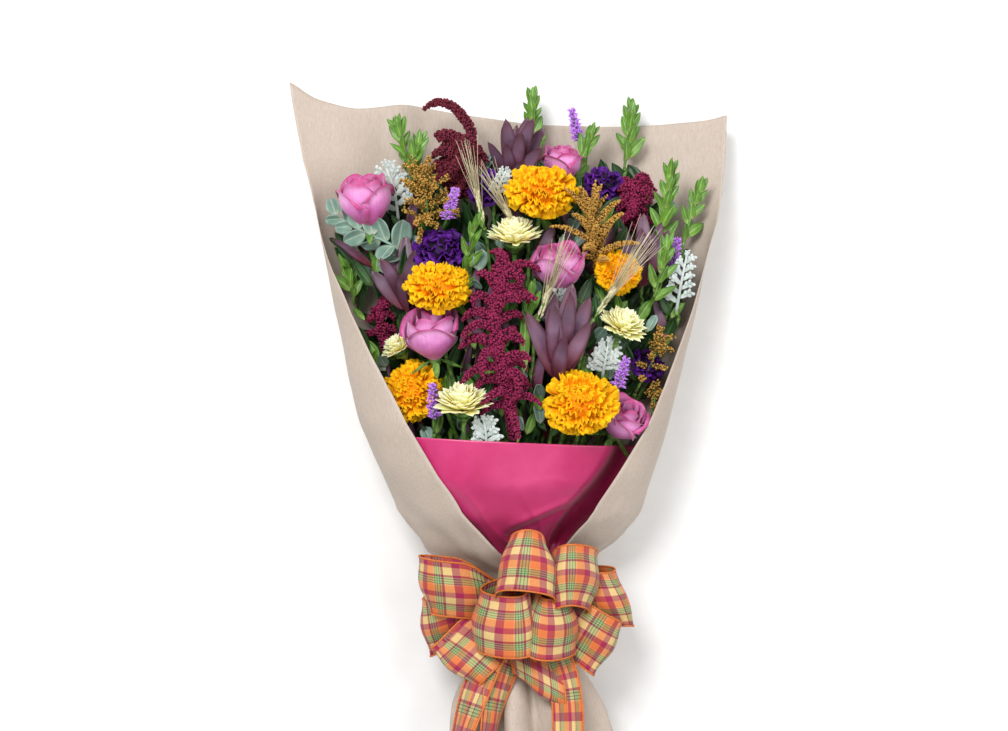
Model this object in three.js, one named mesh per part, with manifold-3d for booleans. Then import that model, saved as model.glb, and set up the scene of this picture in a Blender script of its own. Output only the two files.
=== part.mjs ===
// Mixed flower bouquet lying on its back, wrapped in kraft paper and a coated pink sheet,
// tied at the waist and finished with a plaid ribbon bow.
// Millimetres. +X is the bouquet's right, +Y runs from the cut stems to the flower heads,
// +Z is up, towards the front of the bouquet. The surface that it lies on is z = 0.

import * as THREE from "three";
import Module from "manifold-3d";

const wasm = await Module();
wasm.setup();
const { Manifold, Mesh: SolidMesh } = wasm;

const V = (x, y, z) => new THREE.Vector3(x, y, z);
const radians = THREE.MathUtils.degToRad;
const mix = THREE.MathUtils.lerp;
const ease = THREE.MathUtils.smoothstep;

// Driving dimensions
const KRAFT_SHEET = 1.0; // thickness of the kraft wrap, laminated double
const PINK_SHEET = 0.9; // thickness of the coated inner sheet
const RIBBON = 1.0; // thickness of the wired ribbon
const RIBBON_WIDTH = 60; // a 2.5 inch wired ribbon, slightly gathered
const GAP = 0.35; // clearance between pieces that touch
const MERGE = 0.12; // detail finer than this is left out where pieces are fused
const TIE_Y = -175; // where the bouquet is bound
const TIE_X = 14; // the bundle leaves the middle of the wrap a little to the right
const BUNDLE_Z = 26.9; // height of the bundle's centre at the tie
const STEM_END_Y = -316; // the cut ends, inside the flared paper
const STEM_END_Z = 43; // the bundle's centre at the cut ends
const STEM_RADIUS = 2.7; // at the tie, where they swell against each other
const STEM_SLIM = 1.9; // in the free length
const STEM_ROW = 3.72; // stems side by side in a row of the bundle press into each other
const ROW_SPACING = 4.3; // the rows press together only at the thicker stems in their middle
const BAND_INSIDE = 21; // radius of the rubber band on the stems
const BAND_THICKNESS = 1.6;
const TIE_THICKNESS = 1.4; // the ribbon gathered round the waist of the paper

// A repeatable random draw in 0..1
function seeded(seed) {
  let state = seed >>> 0;
  return () => {
    state = (Math.imul(state, 1664525) + 1013904223) >>> 0;
    return state / 4294967296;
  };
}

// A smooth value read from a list of [station, value] pairs in rising order
function along(pairs, station) {
  const last = pairs.length - 1;
  if (station <= pairs[0][0]) return pairs[0][1];
  if (station >= pairs[last][0]) return pairs[last][1];
  const i = pairs.findIndex((p) => p[0] > station) - 1;
  const t = (station - pairs[i][0]) / (pairs[i + 1][0] - pairs[i][0]);
  return mix(pairs[i][1], pairs[i + 1][1], t);
}

// Closed solids from points and triangles, facing out
function solidFrom(points, triangles) {
  let volume = 0;
  for (const [a, b, c] of triangles) {
    volume += points[a].dot(V(0, 0, 0).crossVectors(points[b], points[c]));
  }
  const facing = volume < 0 ? triangles.map(([a, b, c]) => [a, c, b]) : triangles;
  const geometry = new THREE.BufferGeometry().setFromPoints(points).setIndex(facing.flat());
  const vertProperties = geometry.getAttribute("position").array;
  const triVerts = Uint32Array.from(geometry.getIndex().array);
  return new Manifold(new SolidMesh({ numProp: 3, vertProperties, triVerts }));
}

// A skin over a row of rings. A ring of one point is an apex; an end ring with more points is capped flat.
function loft(rings) {
  const points = [];
  const first = [];
  const triangles = [];
  for (const ring of rings) {
    first.push(points.length);
    points.push(...ring);
  }
  for (let k = 0; k + 1 < rings.length; k++) {
    const [a, b] = [rings[k].length, rings[k + 1].length];
    const n = Math.max(a, b);
    for (let i = 0; i < n; i++) {
      const j = (i + 1) % n;
      if (a > 1) triangles.push([first[k] + i, first[k] + j, first[k + 1] + (b > 1 ? j : 0)]);
      if (b > 1) triangles.push([first[k] + (a > 1 ? i : 0), first[k + 1] + j, first[k + 1] + i]);
    }
  }
  const end = rings.length - 1;
  for (let i = 1; i + 1 < rings[0].length; i++) triangles.push([first[0], first[0] + i + 1, first[0] + i]);
  for (let i = 1; i + 1 < rings[end].length; i++) triangles.push([first[end], first[end] + i, first[end] + i + 1]);
  return solidFrom(points, triangles);
}

// A sheet of even thickness over a grid of points, rows by columns; the second face lies inwards
function sheet(grid, thickness, inwards) {
  const [rows, columns] = [grid.length, grid[0].length];
  const at = (r, c) => grid[THREE.MathUtils.clamp(r, 0, rows - 1)][THREE.MathUtils.clamp(c, 0, columns - 1)];
  const outer = [];
  const inner = [];
  for (let r = 0; r < rows; r++) {
    for (let c = 0; c < columns; c++) {
      const up = at(r + 1, c).clone().sub(at(r - 1, c));
      const across = at(r, c + 1).clone().sub(at(r, c - 1));
      const normal = across.cross(up).normalize().multiplyScalar(thickness * inwards);
      outer.push(at(r, c).clone());
      inner.push(at(r, c).clone().add(normal));
    }
  }
  const n = outer.length;
  const id = (r, c) => r * columns + c;
  const triangles = [];
  for (let r = 0; r + 1 < rows; r++) {
    for (let c = 0; c + 1 < columns; c++) {
      const [a, b, d, e] = [id(r, c), id(r, c + 1), id(r + 1, c), id(r + 1, c + 1)];
      triangles.push([a, b, e], [a, e, d], [n + a, n + e, n + b], [n + a, n + d, n + e]);
    }
  }
  const rim = [];
  for (let c = 0; c + 1 < columns; c++) rim.push([id(0, c), id(0, c + 1)]);
  for (let r = 0; r + 1 < rows; r++) rim.push([id(r, columns - 1), id(r + 1, columns - 1)]);
  for (let c = columns - 1; c > 0; c--) rim.push([id(rows - 1, c), id(rows - 1, c - 1)]);
  for (let r = rows - 1; r > 0; r--) rim.push([id(r, 0), id(r - 1, 0)]);
  for (const [a, b] of rim) triangles.push([b, a, n + a], [b, n + a, n + b]);
  return solidFrom([...outer, ...inner], triangles);
}

// Joins solids and keeps the one main body, with any hollow that the joining sealed filled in
function fuse(solids) {
  const joined = (solids.length > 1 ? Manifold.union(solids) : solids[0]).simplify(MERGE);
  const bodies = joined.decompose().filter((body) => body.volume() > 0);
  return bodies.sort((a, b) => b.volume() - a.volume())[0];
}

// The pieces made so far, which later ones have to stay clear of
const placed = new Map();

function boxesNear(a, b, gap) {
  const [p, q] = [a.boundingBox(), b.boundingBox()];
  return [0, 1, 2].every((i) => p.min[i] - gap < q.max[i] && q.min[i] - gap < p.max[i]);
}

function isClear(solid, gap = GAP) {
  return [...placed.values()].every((other) => !boxesNear(solid, other, gap) || solid.minGap(other, gap + 0.1) >= gap);
}

// The frame of a piece that grows from foot towards axis, with its top side towards facing
function frameAt(foot, axis, facing = V(0, 0, 1)) {
  const z = axis.clone().normalize();
  let x = facing.clone().sub(z.clone().multiplyScalar(facing.dot(z)));
  if (x.length() < 1e-3) x = V(1, 0, 0).sub(z.clone().multiplyScalar(z.x));
  x.normalize();
  const y = z.clone().cross(x);
  return new THREE.Matrix4().makeBasis(x, y, z).setPosition(foot);
}

function moved(solid, matrix) {
  return solid.transform([...matrix.elements]);
}

// A rod along points, with a radius at each. `square` is the one ring, if any, that lies square to Y.
function rod(points, radii, sides, turn = 0, square = -1) {
  const rings = points.map((point, i) => {
    const before = points[Math.max(i - 1, 0)];
    const after = points[Math.min(i + 1, points.length - 1)];
    const axis = i === square ? V(0, 1, 0) : after.clone().sub(before);
    const frame = frameAt(point, axis);
    if (radii[i] === 0) return [point];
    return Array.from({ length: sides }, (_, k) => {
      const angle = turn + (k / sides) * 2 * Math.PI;
      return V(Math.cos(angle) * radii[i], Math.sin(angle) * radii[i], 0).applyMatrix4(frame);
    });
  });
  return loft(rings);
}

// A leaf or petal blade in its own frame: it grows along +Z, its top side faces +X and it bends by
// `bend` degrees towards +X. `outline` lists [share of length, share of half width]. Its root is a point
// sunk below the start, so that it joins the stalk cleanly. A full blade has a ridge on top as well.
function blade({ length, width, outline, thickness = 1.2, bend = 0, cup = 0, sink = 1, full = false }) {
  const rings = [];
  let [x, z, share] = [0, 0, 0];
  for (const [t, half] of [[-sink / length, 0], ...outline, [1, 0]]) {
    const middle = radians(bend) * (share + t) * 0.5;
    x += Math.sin(middle) * (t - share) * length;
    z += Math.cos(middle) * (t - share) * length;
    share = t;
    const lean = radians(bend) * t;
    const point = (side, height) => V(x + Math.cos(lean) * height, side, z - Math.sin(lean) * height);
    const w = half * width * 0.5;
    if (half === 0) rings.push([point(0, 0)]);
    else if (full) rings.push([point(w, cup * w), point(0, 0.4), point(-w, cup * w), point(0, 0.4 - thickness)]);
    else rings.push([point(w, cup * w), point(-w, cup * w), point(0, -thickness)]);
  }
  return loft(rings);
}

// A round head in its own frame, turned about +Z: rings of {z, r, wave}, where wave(i) scales the
// radius of the i-th point and lift(i) raises it, between an apex below and one above
function turned(rings, count, bottom, top) {
  const body = rings.map(({ z, r, wave = () => 1, lift = () => 0 }) =>
    Array.from({ length: count }, (_, i) => {
      const angle = (i / count) * 2 * Math.PI;
      return V(Math.cos(angle) * r * wave(i), Math.sin(angle) * r * wave(i), z + lift(i));
    }),
  );
  return loft([[V(0, 0, bottom)], ...body, [V(0, 0, top)]]);
}

// Kraft wrap. Across the sheet, psi is the angle round the section from the spine on the surface
// (0 degrees) past the side (90) to the front (180). Each row gives y, the left and right sides, the
// depth, the angles at which the left and the right free edges end, and the lift off the surface.
const WRAP_ROWS = [
  { y: -344, left: -56, right: 110, depth: 98, endLeft: 204, endRight: 174, lift: 0 },
  { y: -290, left: -54, right: 94, depth: 88, endLeft: 200, endRight: 174, lift: 0 },
  { y: -235, left: -38, right: 66, depth: 70, endLeft: 200, endRight: 174, lift: 0 },
  { y: -186, left: -13, right: 41, depth: 50, endLeft: 200, endRight: 174, lift: 2.6 },
  { y: -166, left: -13, right: 41, depth: 50, endLeft: 198, endRight: 172, lift: 2.6 },
  { y: -152, left: -44, right: 64, depth: 68, endLeft: 184, endRight: 164, lift: 0 },
  { y: -135, left: -80, right: 90, depth: 92, endLeft: 173, endRight: 158, lift: 0 },
  { y: -95, left: -107, right: 132, depth: 126, endLeft: 153, endRight: 146, lift: 0 },
  { y: -50, left: -128, right: 148, depth: 148, endLeft: 144, endRight: 131, lift: 0 },
  { y: 0, left: -150, right: 162, depth: 158, endLeft: 137, endRight: 120, lift: 0 },
  { y: 60, left: -164, right: 176, depth: 160, endLeft: 126, endRight: 111, lift: 0 },
  { y: 130, left: -179, right: 193, depth: 156, endLeft: 113, endRight: 102, lift: 0 },
  { y: 200, left: -192, right: 210, depth: 150, endLeft: 92, endRight: 86, lift: 0 },
  { y: 265, left: -206, right: 220, depth: 150, endLeft: 68, endRight: 66, lift: 0 },
  { y: 344, left: -221.5, right: 221.5, depth: 150, endLeft: 55, endRight: 58, lift: 0 },
];
const WRAP_COLUMNS = 16; // eight strips to each side of the spine
const SPINE_FLAT = 5; // flattening of the spine that gives the wrap its resting face
const FLAP_LAP = 2.4; // the left flap lies this far outside the right one at the front
// The sheet's top edge: [place across from -1 to 1, y]
const TOP_EDGE = [
  [-1, 344], [-0.88, 331], [-0.7, 326], [-0.3, 327], [-0.1, 317], [0.1, 309], [0.5, 307], [0.9, 311], [1, 313],
];
// How far the folds of the gathered paper stand in and out: [y, depth]
const PLEATS = [[-344, 5], [-290, 4], [-235, 3], [-190, 0], [-162, 0], [-135, 3], [-95, 1.5], [-50, 0]];

function wrapValue(key, y) {
  return along(WRAP_ROWS.map((row) => [row.y, row[key]]), y);
}

// A point of the wrap's outer face at height y, psi degrees round on the left (-1) or the right (1)
function wrapPoint(y, psi, side, grow = 0) {
  const [left, right] = [wrapValue("left", y), wrapValue("right", y)];
  const end = wrapValue(side < 0 ? "endLeft" : "endRight", y);
  const narrow = end < 90 ? Math.sin(radians(end)) : 1;
  const lapped = side < 0 ? FLAP_LAP * ease(psi, 135, 165) * ease(end, 150, 175) : 0;
  const half = (right - left) / 2 / narrow + grow + lapped;
  const tall = (wrapValue("depth", y) + SPINE_FLAT) / 2;
  const z = tall - (tall + grow + lapped) * Math.cos(radians(psi));
  const x = (left + right) / 2 + side * half * Math.sin(radians(psi));
  return V(x, y, Math.max(0, z + grow - SPINE_FLAT) - grow + wrapValue("lift", y));
}

function kraftPaper() {
  const grid = WRAP_ROWS.map((row, r) =>
    Array.from({ length: WRAP_COLUMNS + 1 }, (_, c) => {
      const u = (2 * c) / WRAP_COLUMNS - 1;
      const point = wrapPoint(row.y, Math.abs(u) * (u < 0 ? row.endLeft : row.endRight), Math.sign(u));
      if (r === WRAP_ROWS.length - 1) point.y = along(TOP_EDGE, u);
      const middle = V((row.left + row.right) / 2, point.y, row.depth / 2);
      const outwards = point.clone().sub(middle).normalize();
      const onFold = ease(Math.abs(u), 0.2, 0.4) * (1 - ease(Math.abs(u), 0.8, 0.95));
      return point.addScaledVector(outwards, along(PLEATS, row.y) * (c % 2 ? 1 : -1) * onFold);
    }),
  );
  return sheet(grid, KRAFT_SHEET, 1);
}

// Coated pink sheet, a pocket across the front and gathered down towards the stems. Each row gives y, the
// middle and the half width, the heights of its front and of its side edges, and the depth of the fold
// in which it turns away on the right.
const PINK_ACROSS = [-1, -0.82, -0.6, -0.35, -0.1, 0.15, 0.4, 0.6, 0.72, 0.8, 0.9, 1];
const PINK_ROWS = [
  { y: -146, middle: 13, half: 44, top: 70, side: 40, drop: 3 },
  { y: -128, middle: 12, half: 56, top: 84, side: 42, drop: 8 },
  { y: -108, middle: 10, half: 72, top: 104, side: 46, drop: 14 },
  { y: -94, middle: 9, half: 84, top: 120, side: 54, drop: 20 },
  { y: -60, middle: 10, half: 110, top: 142, side: 68, drop: 30 },
  { y: -17, middle: 13, half: 132, top: 150, side: 80, drop: 40 },
];

function pinkSheet(wider) {
  const point = (row, u) => {
    const crown = Math.pow(Math.max(0, 1 - Math.pow(Math.abs(u + 0.1) / 1.1, 2.4)), 0.7);
    const valley = row.drop * Math.exp(-Math.pow((u - 0.84) / 0.09, 2));
    const tilt = 6 * (u + 0.1) * ease(row.y, -100, -17);
    return V(row.middle + (row.half + wider) * u, row.y - tilt, mix(row.side, row.top, crown) - valley);
  };
  return sheet(PINK_ROWS.map((row) => PINK_ACROSS.map((u) => point(row, u))), PINK_SHEET, -1);
}

// The sheet spreads sideways until it lies against the kraft paper
function pinkPaper() {
  let wider = -12;
  while (pinkSheet(wider + 0.3).minGap(placed.get("kraft_paper"), 1) > GAP) wider += 0.3;
  return pinkSheet(wider);
}

// The ribbon gathered round the waist of the paper: the paper's own section, grown outwards. It passes
// from the right flap up onto the left one, which lies over it.
const TIE_HALF_WIDTH = 8;

function waistTie() {
  const steps = WRAP_COLUMNS / 2;
  const [endLeft, endRight] = [wrapValue("endLeft", TIE_Y), wrapValue("endRight", TIE_Y)];
  const right = [0, 1, 2, 3, 4, 5, 6].map((k) => (k / steps) * endRight);
  const left = [endLeft + 9, ...[8, 7, 6, 5, 4, 3, 2, 1].map((k) => (k / steps) * endLeft)];
  const round = (y, grow) => [
    ...right.map((psi) => wrapPoint(TIE_Y, psi, 1, grow).setY(y)),
    ...left.map((psi) => wrapPoint(TIE_Y, psi, -1, grow).setY(y)),
  ];
  const [low, high] = [TIE_Y - TIE_HALF_WIDTH, TIE_Y + TIE_HALF_WIDTH];
  const inside = loft([round(low - 5, GAP + 0.1), round(high + 5, GAP + 0.1)]);
  return loft([round(low, GAP + 0.1 + TIE_THICKNESS), round(high, GAP + 0.1 + TIE_THICKNESS)]).subtract(inside);
}

function stemBand() {
  const round = (y, radius) =>
    Array.from({ length: 16 }, (_, i) => {
      const angle = (i / 8) * Math.PI;
      return V(TIE_X + Math.cos(angle) * radius, y, BUNDLE_Z + Math.sin(angle) * radius);
    });
  const outside = BAND_INSIDE + BAND_THICKNESS;
  const band = loft([round(TIE_Y - 3.5, outside), round(TIE_Y + 3.5, outside)]);
  return band.subtract(loft([round(TIE_Y - 9, BAND_INSIDE), round(TIE_Y + 9, BAND_INSIDE)]));
}

// Ribbon bow. A loop leaves the knot, turns back at its far end and returns. `across` is the way its
// width lies there, and `gape` how far its two layers stand apart.
const KNOT = V(TIE_X + 3, TIE_Y - 1, 65.8);
const LOOPS = [
  { end: V(-86, -162, 92), across: V(-0.12, 0.97, 0.2), gape: 34 },
  { end: V(-12, -201, 120), across: V(0.06, 1, 0.06), gape: 72 },
  { end: V(49, -203, 118), across: V(-0.06, 1, 0.04), gape: 60 },
  { end: V(18, -142, 132), across: V(0.05, 1, -0.1), gape: 66 },
  { end: V(74, -154, 112), across: V(0.12, 0.95, -0.25), gape: 56 },
  { end: V(118, -176, 86), across: V(-0.35, 0.93, 0.1), gape: 26 },
  { end: V(102, -228, 92), across: V(0.56, 0.83, 0), gape: 28 },
  { end: V(-56, -246, 94), across: V(0.77, -0.64, 0), gape: 26 },
  { end: V(30, -268, 98), across: V(0.86, -0.5, 0), gape: 24 },
];
const LOOP_STEPS = 6;
const TAIL_WIDTH = 30;
// Tails: the points of the middle line after the knot, and the tilt of the ribbon about it in degrees
const TAILS = [
  { line: [V(-12, -222, 92), V(-34, -268, 103), V(-54, -330, 112)], tilt: [10, 30] },
  { line: [V(2, -226, 88), V(-12, -272, 99), V(-22, -332, 108)], tilt: [-10, -34] },
  { line: [V(44, -226, 90), V(58, -270, 102), V(60, -334, 112)], tilt: [16, -16] },
];

function ribbonLoft(stations) {
  return loft(
    stations.map(({ at, across, up, width }) =>
      [[-0.5, -0.5], [0.5, -0.5], [0.5, 0.5], [-0.5, 0.5]].map(([a, b]) =>
        at.clone().addScaledVector(across, a * width).addScaledVector(up, b * RIBBON),
      ),
    ),
  );
}

function bowLoop({ end, across, gape }) {
  const out = end.clone().sub(KNOT);
  const reach = out.length();
  const thick = out.clone().cross(across).normalize();
  const line = Array.from({ length: LOOP_STEPS + 1 }, (_, i) => {
    const t = mix(0.05, 0.95, i / LOOP_STEPS);
    const far = Math.sin(Math.PI * t);
    const swell = 0.5 * gape * Math.sin(2 * Math.PI * t) * Math.sqrt(far);
    return KNOT.clone().addScaledVector(out, far).addScaledVector(thick, swell);
  });
  return ribbonLoft(
    line.map((at, i) => {
      const run = line[Math.min(i + 1, LOOP_STEPS)].clone().sub(line[Math.max(i - 1, 0)]).normalize();
      const width = RIBBON_WIDTH * mix(0.16, 1, ease(at.distanceTo(KNOT) / reach, 0.12, 0.7));
      return { at, across: across.clone().normalize(), up: run.cross(across).normalize(), width };
    }),
  );
}

function bowTail({ line, tilt }) {
  const stations = line.map((at, i) => {
    const before = i ? line[i - 1] : KNOT;
    const run = line[Math.min(i + 1, line.length - 1)].clone().sub(before).normalize();
    const across = V(1, 0, 0).applyAxisAngle(run, radians(mix(tilt[0], tilt[1], i / (line.length - 1))));
    across.addScaledVector(run, -across.dot(run)).normalize();
    return { at, across, up: run.clone().cross(across), width: TAIL_WIDTH };
  });
  return ribbonLoft([{ ...stations[0], at: KNOT.clone(), width: 14 }, ...stations]);
}

function ribbonBow() {
  const knot = turned([{ z: -11, r: 12 }, { z: 0, r: 17 }, { z: 11, r: 12 }], 6, -12, 12);
  return fuse([knot.scale([1.1, 1, 0.75]).translate([KNOT.x, KNOT.y, KNOT.z]), ...LOOPS.map(bowLoop), ...TAILS.map(bowTail)]);
}

// Flower heads, each in its own frame: the head faces +Z and its flat base is at z = 0
const CUP_POINTS = 3; // points of the outline for each petal of a cup

function petalCup(radius, height, petals, lip, foot, start) {
  const overlap = (i) => 1 + [0.06, 0.01, -0.06][(i + start) % CUP_POINTS];
  const arch = (i) => [-0.1, 0.06, -0.12][(i + start) % CUP_POINTS] * height;
  const wall = 1.6;
  return turned(
    [
      { z: foot, r: radius * 0.42 },
      { z: foot + height * 0.45, r: radius, wave: overlap },
      { z: foot + height, r: radius * lip, wave: overlap, lift: arch },
      { z: foot + height - 1, r: radius * lip - wall, wave: overlap, lift: arch },
      { z: foot + height * 0.5, r: radius - wall * 1.6, wave: overlap },
    ],
    petals * CUP_POINTS, foot, foot + height * 0.16,
  );
}

function roseHead({ radius, height }) {
  const swirl = (i) => [1.08, 0.98, 0.9][i % CUP_POINTS];
  const bud = turned(
    [
      { z: height * 0.12, r: radius * 0.3 },
      { z: height * 0.5, r: radius * 0.5, wave: swirl },
      { z: height * 0.9, r: radius * 0.36, wave: swirl, lift: (i) => [0, 2, -1][i % CUP_POINTS] },
      { z: height * 0.84, r: radius * 0.2, wave: swirl },
    ],
    9, height * 0.1, height * 0.72,
  );
  return fuse([
    petalCup(radius, height * 0.88, 4, 0.94, 0, 0),
    petalCup(radius * 0.78, height * 0.93, 3, 0.8, height * 0.04, 1),
    bud,
  ]);
}

// A dense head of ruffled petals: tiers of petal tips that stand out over the roots of the next tier
function frilledHead({ radius, height, petals, tiers, spread, seed }) {
  const count = petals * 2;
  const draw = seeded(seed);
  const rings = [{ z: 0, r: 5 }];
  for (let tier = 0; tier < tiers; tier++) {
    const [low, high] = [tier / tiers, (tier + 0.55) / tiers].map((t) => mix(spread, 12, t));
    const jitter = Array.from({ length: count }, () => mix(0.9, 1.1, draw()));
    const wobble = Array.from({ length: count }, () => mix(-1.6, 1.6, draw()));
    rings.push({
      z: height * (0.42 + 0.5 * Math.cos(radians(low))),
      r: radius * Math.sin(radians(Math.min(low, 90))),
      wave: (i) => ((i + tier) % 2 ? 0.8 : 1.04) * jitter[i],
      lift: (i) => wobble[i],
    });
    rings.push({
      z: height * (0.38 + 0.46 * Math.cos(radians(high))),
      r: radius * 0.78 * Math.sin(radians(Math.min(high, 90))),
      wave: (i) => ((i + tier) % 2 ? 0.9 : 1),
    });
  }
  return fuse([turned(rings, count, 0, height * 0.9)]);
}

// A daisy-like head: two layers of strap petals round a low domed centre
function daisyHead({ radius, height, petals }) {
  const star = (i) => (i % 2 ? 0.42 : 1);
  const back = (i) => (i % 2 ? 1 : 0.42);
  const droop = (i) => (i % 2 ? -0.12 * height : 0);
  return turned(
    [
      { z: 0, r: 5 },
      { z: height * 0.42, r: radius, wave: star, lift: droop },
      { z: height * 0.42 + 1, r: radius, wave: star, lift: droop },
      { z: height * 0.62, r: radius * 0.84, wave: back },
      { z: height * 0.62 + 1, r: radius * 0.84, wave: back },
      { z: height * 0.66, r: radius * 0.28 },
    ],
    petals * 2, 0, height * 0.85,
  );
}

// Blooms: name, kind, middle of the head, the way it faces and its sizes
const BLOOMS = [
  ["rose_upper_left", "rose", V(-144, 222, 84), V(-0.15, 0.9, 0.35), { radius: 27, height: 52 }],
  ["rose_lower_left", "rose", V(-75, 84, 122), V(-0.2, 0.86, 0.5), { radius: 27, height: 50 }],
  ["rose_centre", "rose", V(48, 158, 120), V(0.05, 0.86, 0.5), { radius: 26, height: 48 }],
  ["rose_top", "rose", V(58, 270, 50), V(0.1, 0.95, 0.3), { radius: 22, height: 42 }],
  ["rose_lower_right", "rose", V(113, 3, 108), V(0.4, 0.7, 0.6), { radius: 22, height: 42 }],
  ["marigold_top", "marigold", V(31, 232, 112), V(0.1, 0.62, 0.78), { radius: 37, height: 34 }],
  ["marigold_left", "marigold", V(-71, 140, 140), V(0, 0.68, 0.73), { radius: 33, height: 32 }],
  ["marigold_left_edge", "marigold", V(-103, 32, 98), V(-0.35, 0.5, 0.8), { radius: 27, height: 30 }],
  ["marigold_front", "marigold", V(71, 22, 152), V(0.05, 0.35, 0.94), { radius: 37, height: 40 }],
  ["marigold_right", "marigold", V(110, 153, 116), V(0.25, 0.45, 0.85), { radius: 24, height: 26 }],
  ["carnation_left", "carnation", V(-68, 181, 95), V(0.1, 0.78, 0.62), { radius: 29, height: 30 }],
  ["carnation_top", "carnation", V(-18, 242, 70), V(-0.1, 0.85, 0.5), { radius: 23, height: 26 }],
  ["carnation_upper_right", "carnation", V(98, 247, 58), V(0.2, 0.88, 0.42), { radius: 22, height: 24 }],
  ["carnation_right", "carnation", V(143, 61, 84), V(0.5, 0.6, 0.6), { radius: 18, height: 22 }],
  ["daisy_upper", "daisy", V(4, 186, 106), V(0, 0.9, 0.42), { radius: 28, height: 24 }],
  ["daisy_front", "daisy", V(-45, 20, 146), V(-0.12, 0.8, 0.58), { radius: 29, height: 26 }],
  ["daisy_right", "daisy", V(112, 97, 128), V(0.45, 0.55, 0.7), { radius: 24, height: 20 }],
  ["daisy_left", "daisy", V(-112, 76, 92), V(-0.5, 0.8, 0.3), { radius: 16, height: 16 }],
];
const HEADS = {
  rose: roseHead,
  marigold: (size) => frilledHead({ ...size, petals: 8, tiers: 4, spread: 100, seed: 11 }),
  carnation: (size) => frilledHead({ ...size, petals: 8, tiers: 3, spread: 84, seed: 23 }),
  daisy: (size) => daisyHead({ ...size, petals: 10 }),
};
const CALYX = { rose: 7, marigold: 7, carnation: 6, daisy: 5 };

// Stems. They run as one bundle from the cut ends to the tie and from there each to its own flower.
const feet = []; // what the stems have to reach
const stemParts = [];
const uppers = []; // each stem's free part above the tie
const drawStem = seeded(7);

// Gives every foot the slot of the bundle that suits its direction, so that the stems hardly cross
function shareOutSlots() {
  const slots = [];
  for (let row = -5; row <= 5; row++) {
    for (let column = -5; column <= 5; column++) slots.push(V(column * STEM_ROW, 0, row * ROW_SPACING));
  }
  slots.sort((a, b) => a.length() - b.length());
  feet.forEach((foot, i) => {
    const way = foot.at.clone().sub(V(TIE_X, TIE_Y, BUNDLE_Z));
    foot.wanted = V(way.x / way.y, 0, way.z / way.y - 0.36).multiplyScalar(26);
    foot.slot = slots[i];
  });
  const cost = (foot, slot) => foot.wanted.distanceToSquared(slot);
  for (let pass = 0; pass < 30; pass++) {
    for (const a of feet) {
      for (const b of feet) {
        if (cost(a, b.slot) + cost(b, a.slot) >= cost(a, a.slot) + cost(b, b.slot)) continue;
        [a.slot, b.slot] = [b.slot, a.slot];
      }
    }
  }
}

// A broad leaf on a flower's stem, turned to where there is room for it
function addStemLeaf(low, high) {
  const axis = high.clone().sub(low).normalize();
  for (let attempt = 0; attempt < 24; attempt++) {
    const root = low.clone().lerp(high, mix(0.3, 0.75, drawStem()));
    const way = offAxis(axis, 360 * drawStem(), mix(30, 60, drawStem()));
    const size = mix(1, 0.6, attempt / 24);
    const outline = [[0.22, 0.75], [0.55, 1]];
    const shape = { length: 44 * size, width: 25 * size, outline, bend: -20, cup: 0.2, thickness: 1.4, sink: 1.6 };
    const leaf = moved(blade(shape), frameAt(root, way, V(0, 0, 1)));
    if (!isClear(leaf) || leaf.boundingBox().min[2] < 12) continue;
    stemParts.push(leaf);
    return;
  }
}

// Leads a stem from its slot in the bundle to its foot, bending round whatever lies in its way
function addStem({ name, at, axis, radius, slot }) {
  const tie = V(TIE_X + slot.x, TIE_Y, BUNDLE_Z + slot.z);
  const end = V(TIE_X + 6 + slot.x * 1.35, STEM_END_Y + 16 * drawStem(), STEM_END_Z + slot.z * 1.35);
  const top = at.clone().addScaledVector(axis, -GAP - 0.05);
  const tieRadius = slot.x ? STEM_RADIUS : STEM_RADIUS * 1.2;
  for (let attempt = 0; attempt < 300; attempt++) {
    const effort = (attempt % 150) / 150;
    const fall = axis.clone().lerp(V(0, 0.35, 0.94), Math.min(1, effort * 2)).normalize();
    const neck = top.clone().addScaledVector(axis, -4).addScaledVector(fall, -mix(8, 26, drawStem()));
    const swing = V(drawStem() - 0.5, drawStem() - 0.5, drawStem() - 0.5).multiplyScalar(effort * 130);
    const middle = tie.clone().lerp(neck, mix(0.5, 0.8, drawStem())).add(swing);
    middle.z = mix(middle.z, 22, effort * drawStem());
    const points = [end, tie, middle, neck];
    const radii = [STEM_SLIM, tieRadius, STEM_SLIM, STEM_SLIM];
    if (radius > 2.3 || attempt > 20) {
      points.push(top.clone().addScaledVector(axis, -4));
      radii.push(Math.min(radius, STEM_SLIM + 0.4));
    }
    const stem = rod([...points, top], [...radii, radius], 4, Math.PI / 4, 1);
    if (!isClear(stem)) continue;
    const upper = rod([tie.clone().lerp(middle, 0.2), middle, neck], radii.slice(1), 4, Math.PI / 4);
    const crosses = uppers.some((other) => boxesNear(upper, other, 0) && upper.minGap(other, 0.5) < 0.2);
    if (crosses && attempt < 150) continue;
    uppers.push(upper);
    stemParts.push(stem);
    if (radius > 5.5) addStemLeaf(middle, neck);
    return;
  }
  throw new Error(`no free way for the stem of ${name}`);
}

function addBloom([name, kind, middle, facing, size]) {
  const axis = facing.clone().normalize();
  const foot = middle.clone().addScaledVector(axis, -size.height / 2);
  placed.set(name, moved(HEADS[kind](size), frameAt(foot, axis)));
  feet.push({ name, at: foot, axis, radius: CALYX[kind] });
}

// Sprays. Each is its own stalk with what grows on it, blade by blade; what would cross a piece that is
// already there is bent another way, and left off when no way is clear.
function offAxis(axis, turn, spread) {
  const frame = frameAt(V(0, 0, 0), axis);
  const [t, s] = [radians(turn), radians(spread)];
  return V(Math.cos(t) * Math.sin(s), Math.sin(t) * Math.sin(s), Math.cos(s)).transformDirection(frame);
}

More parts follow.
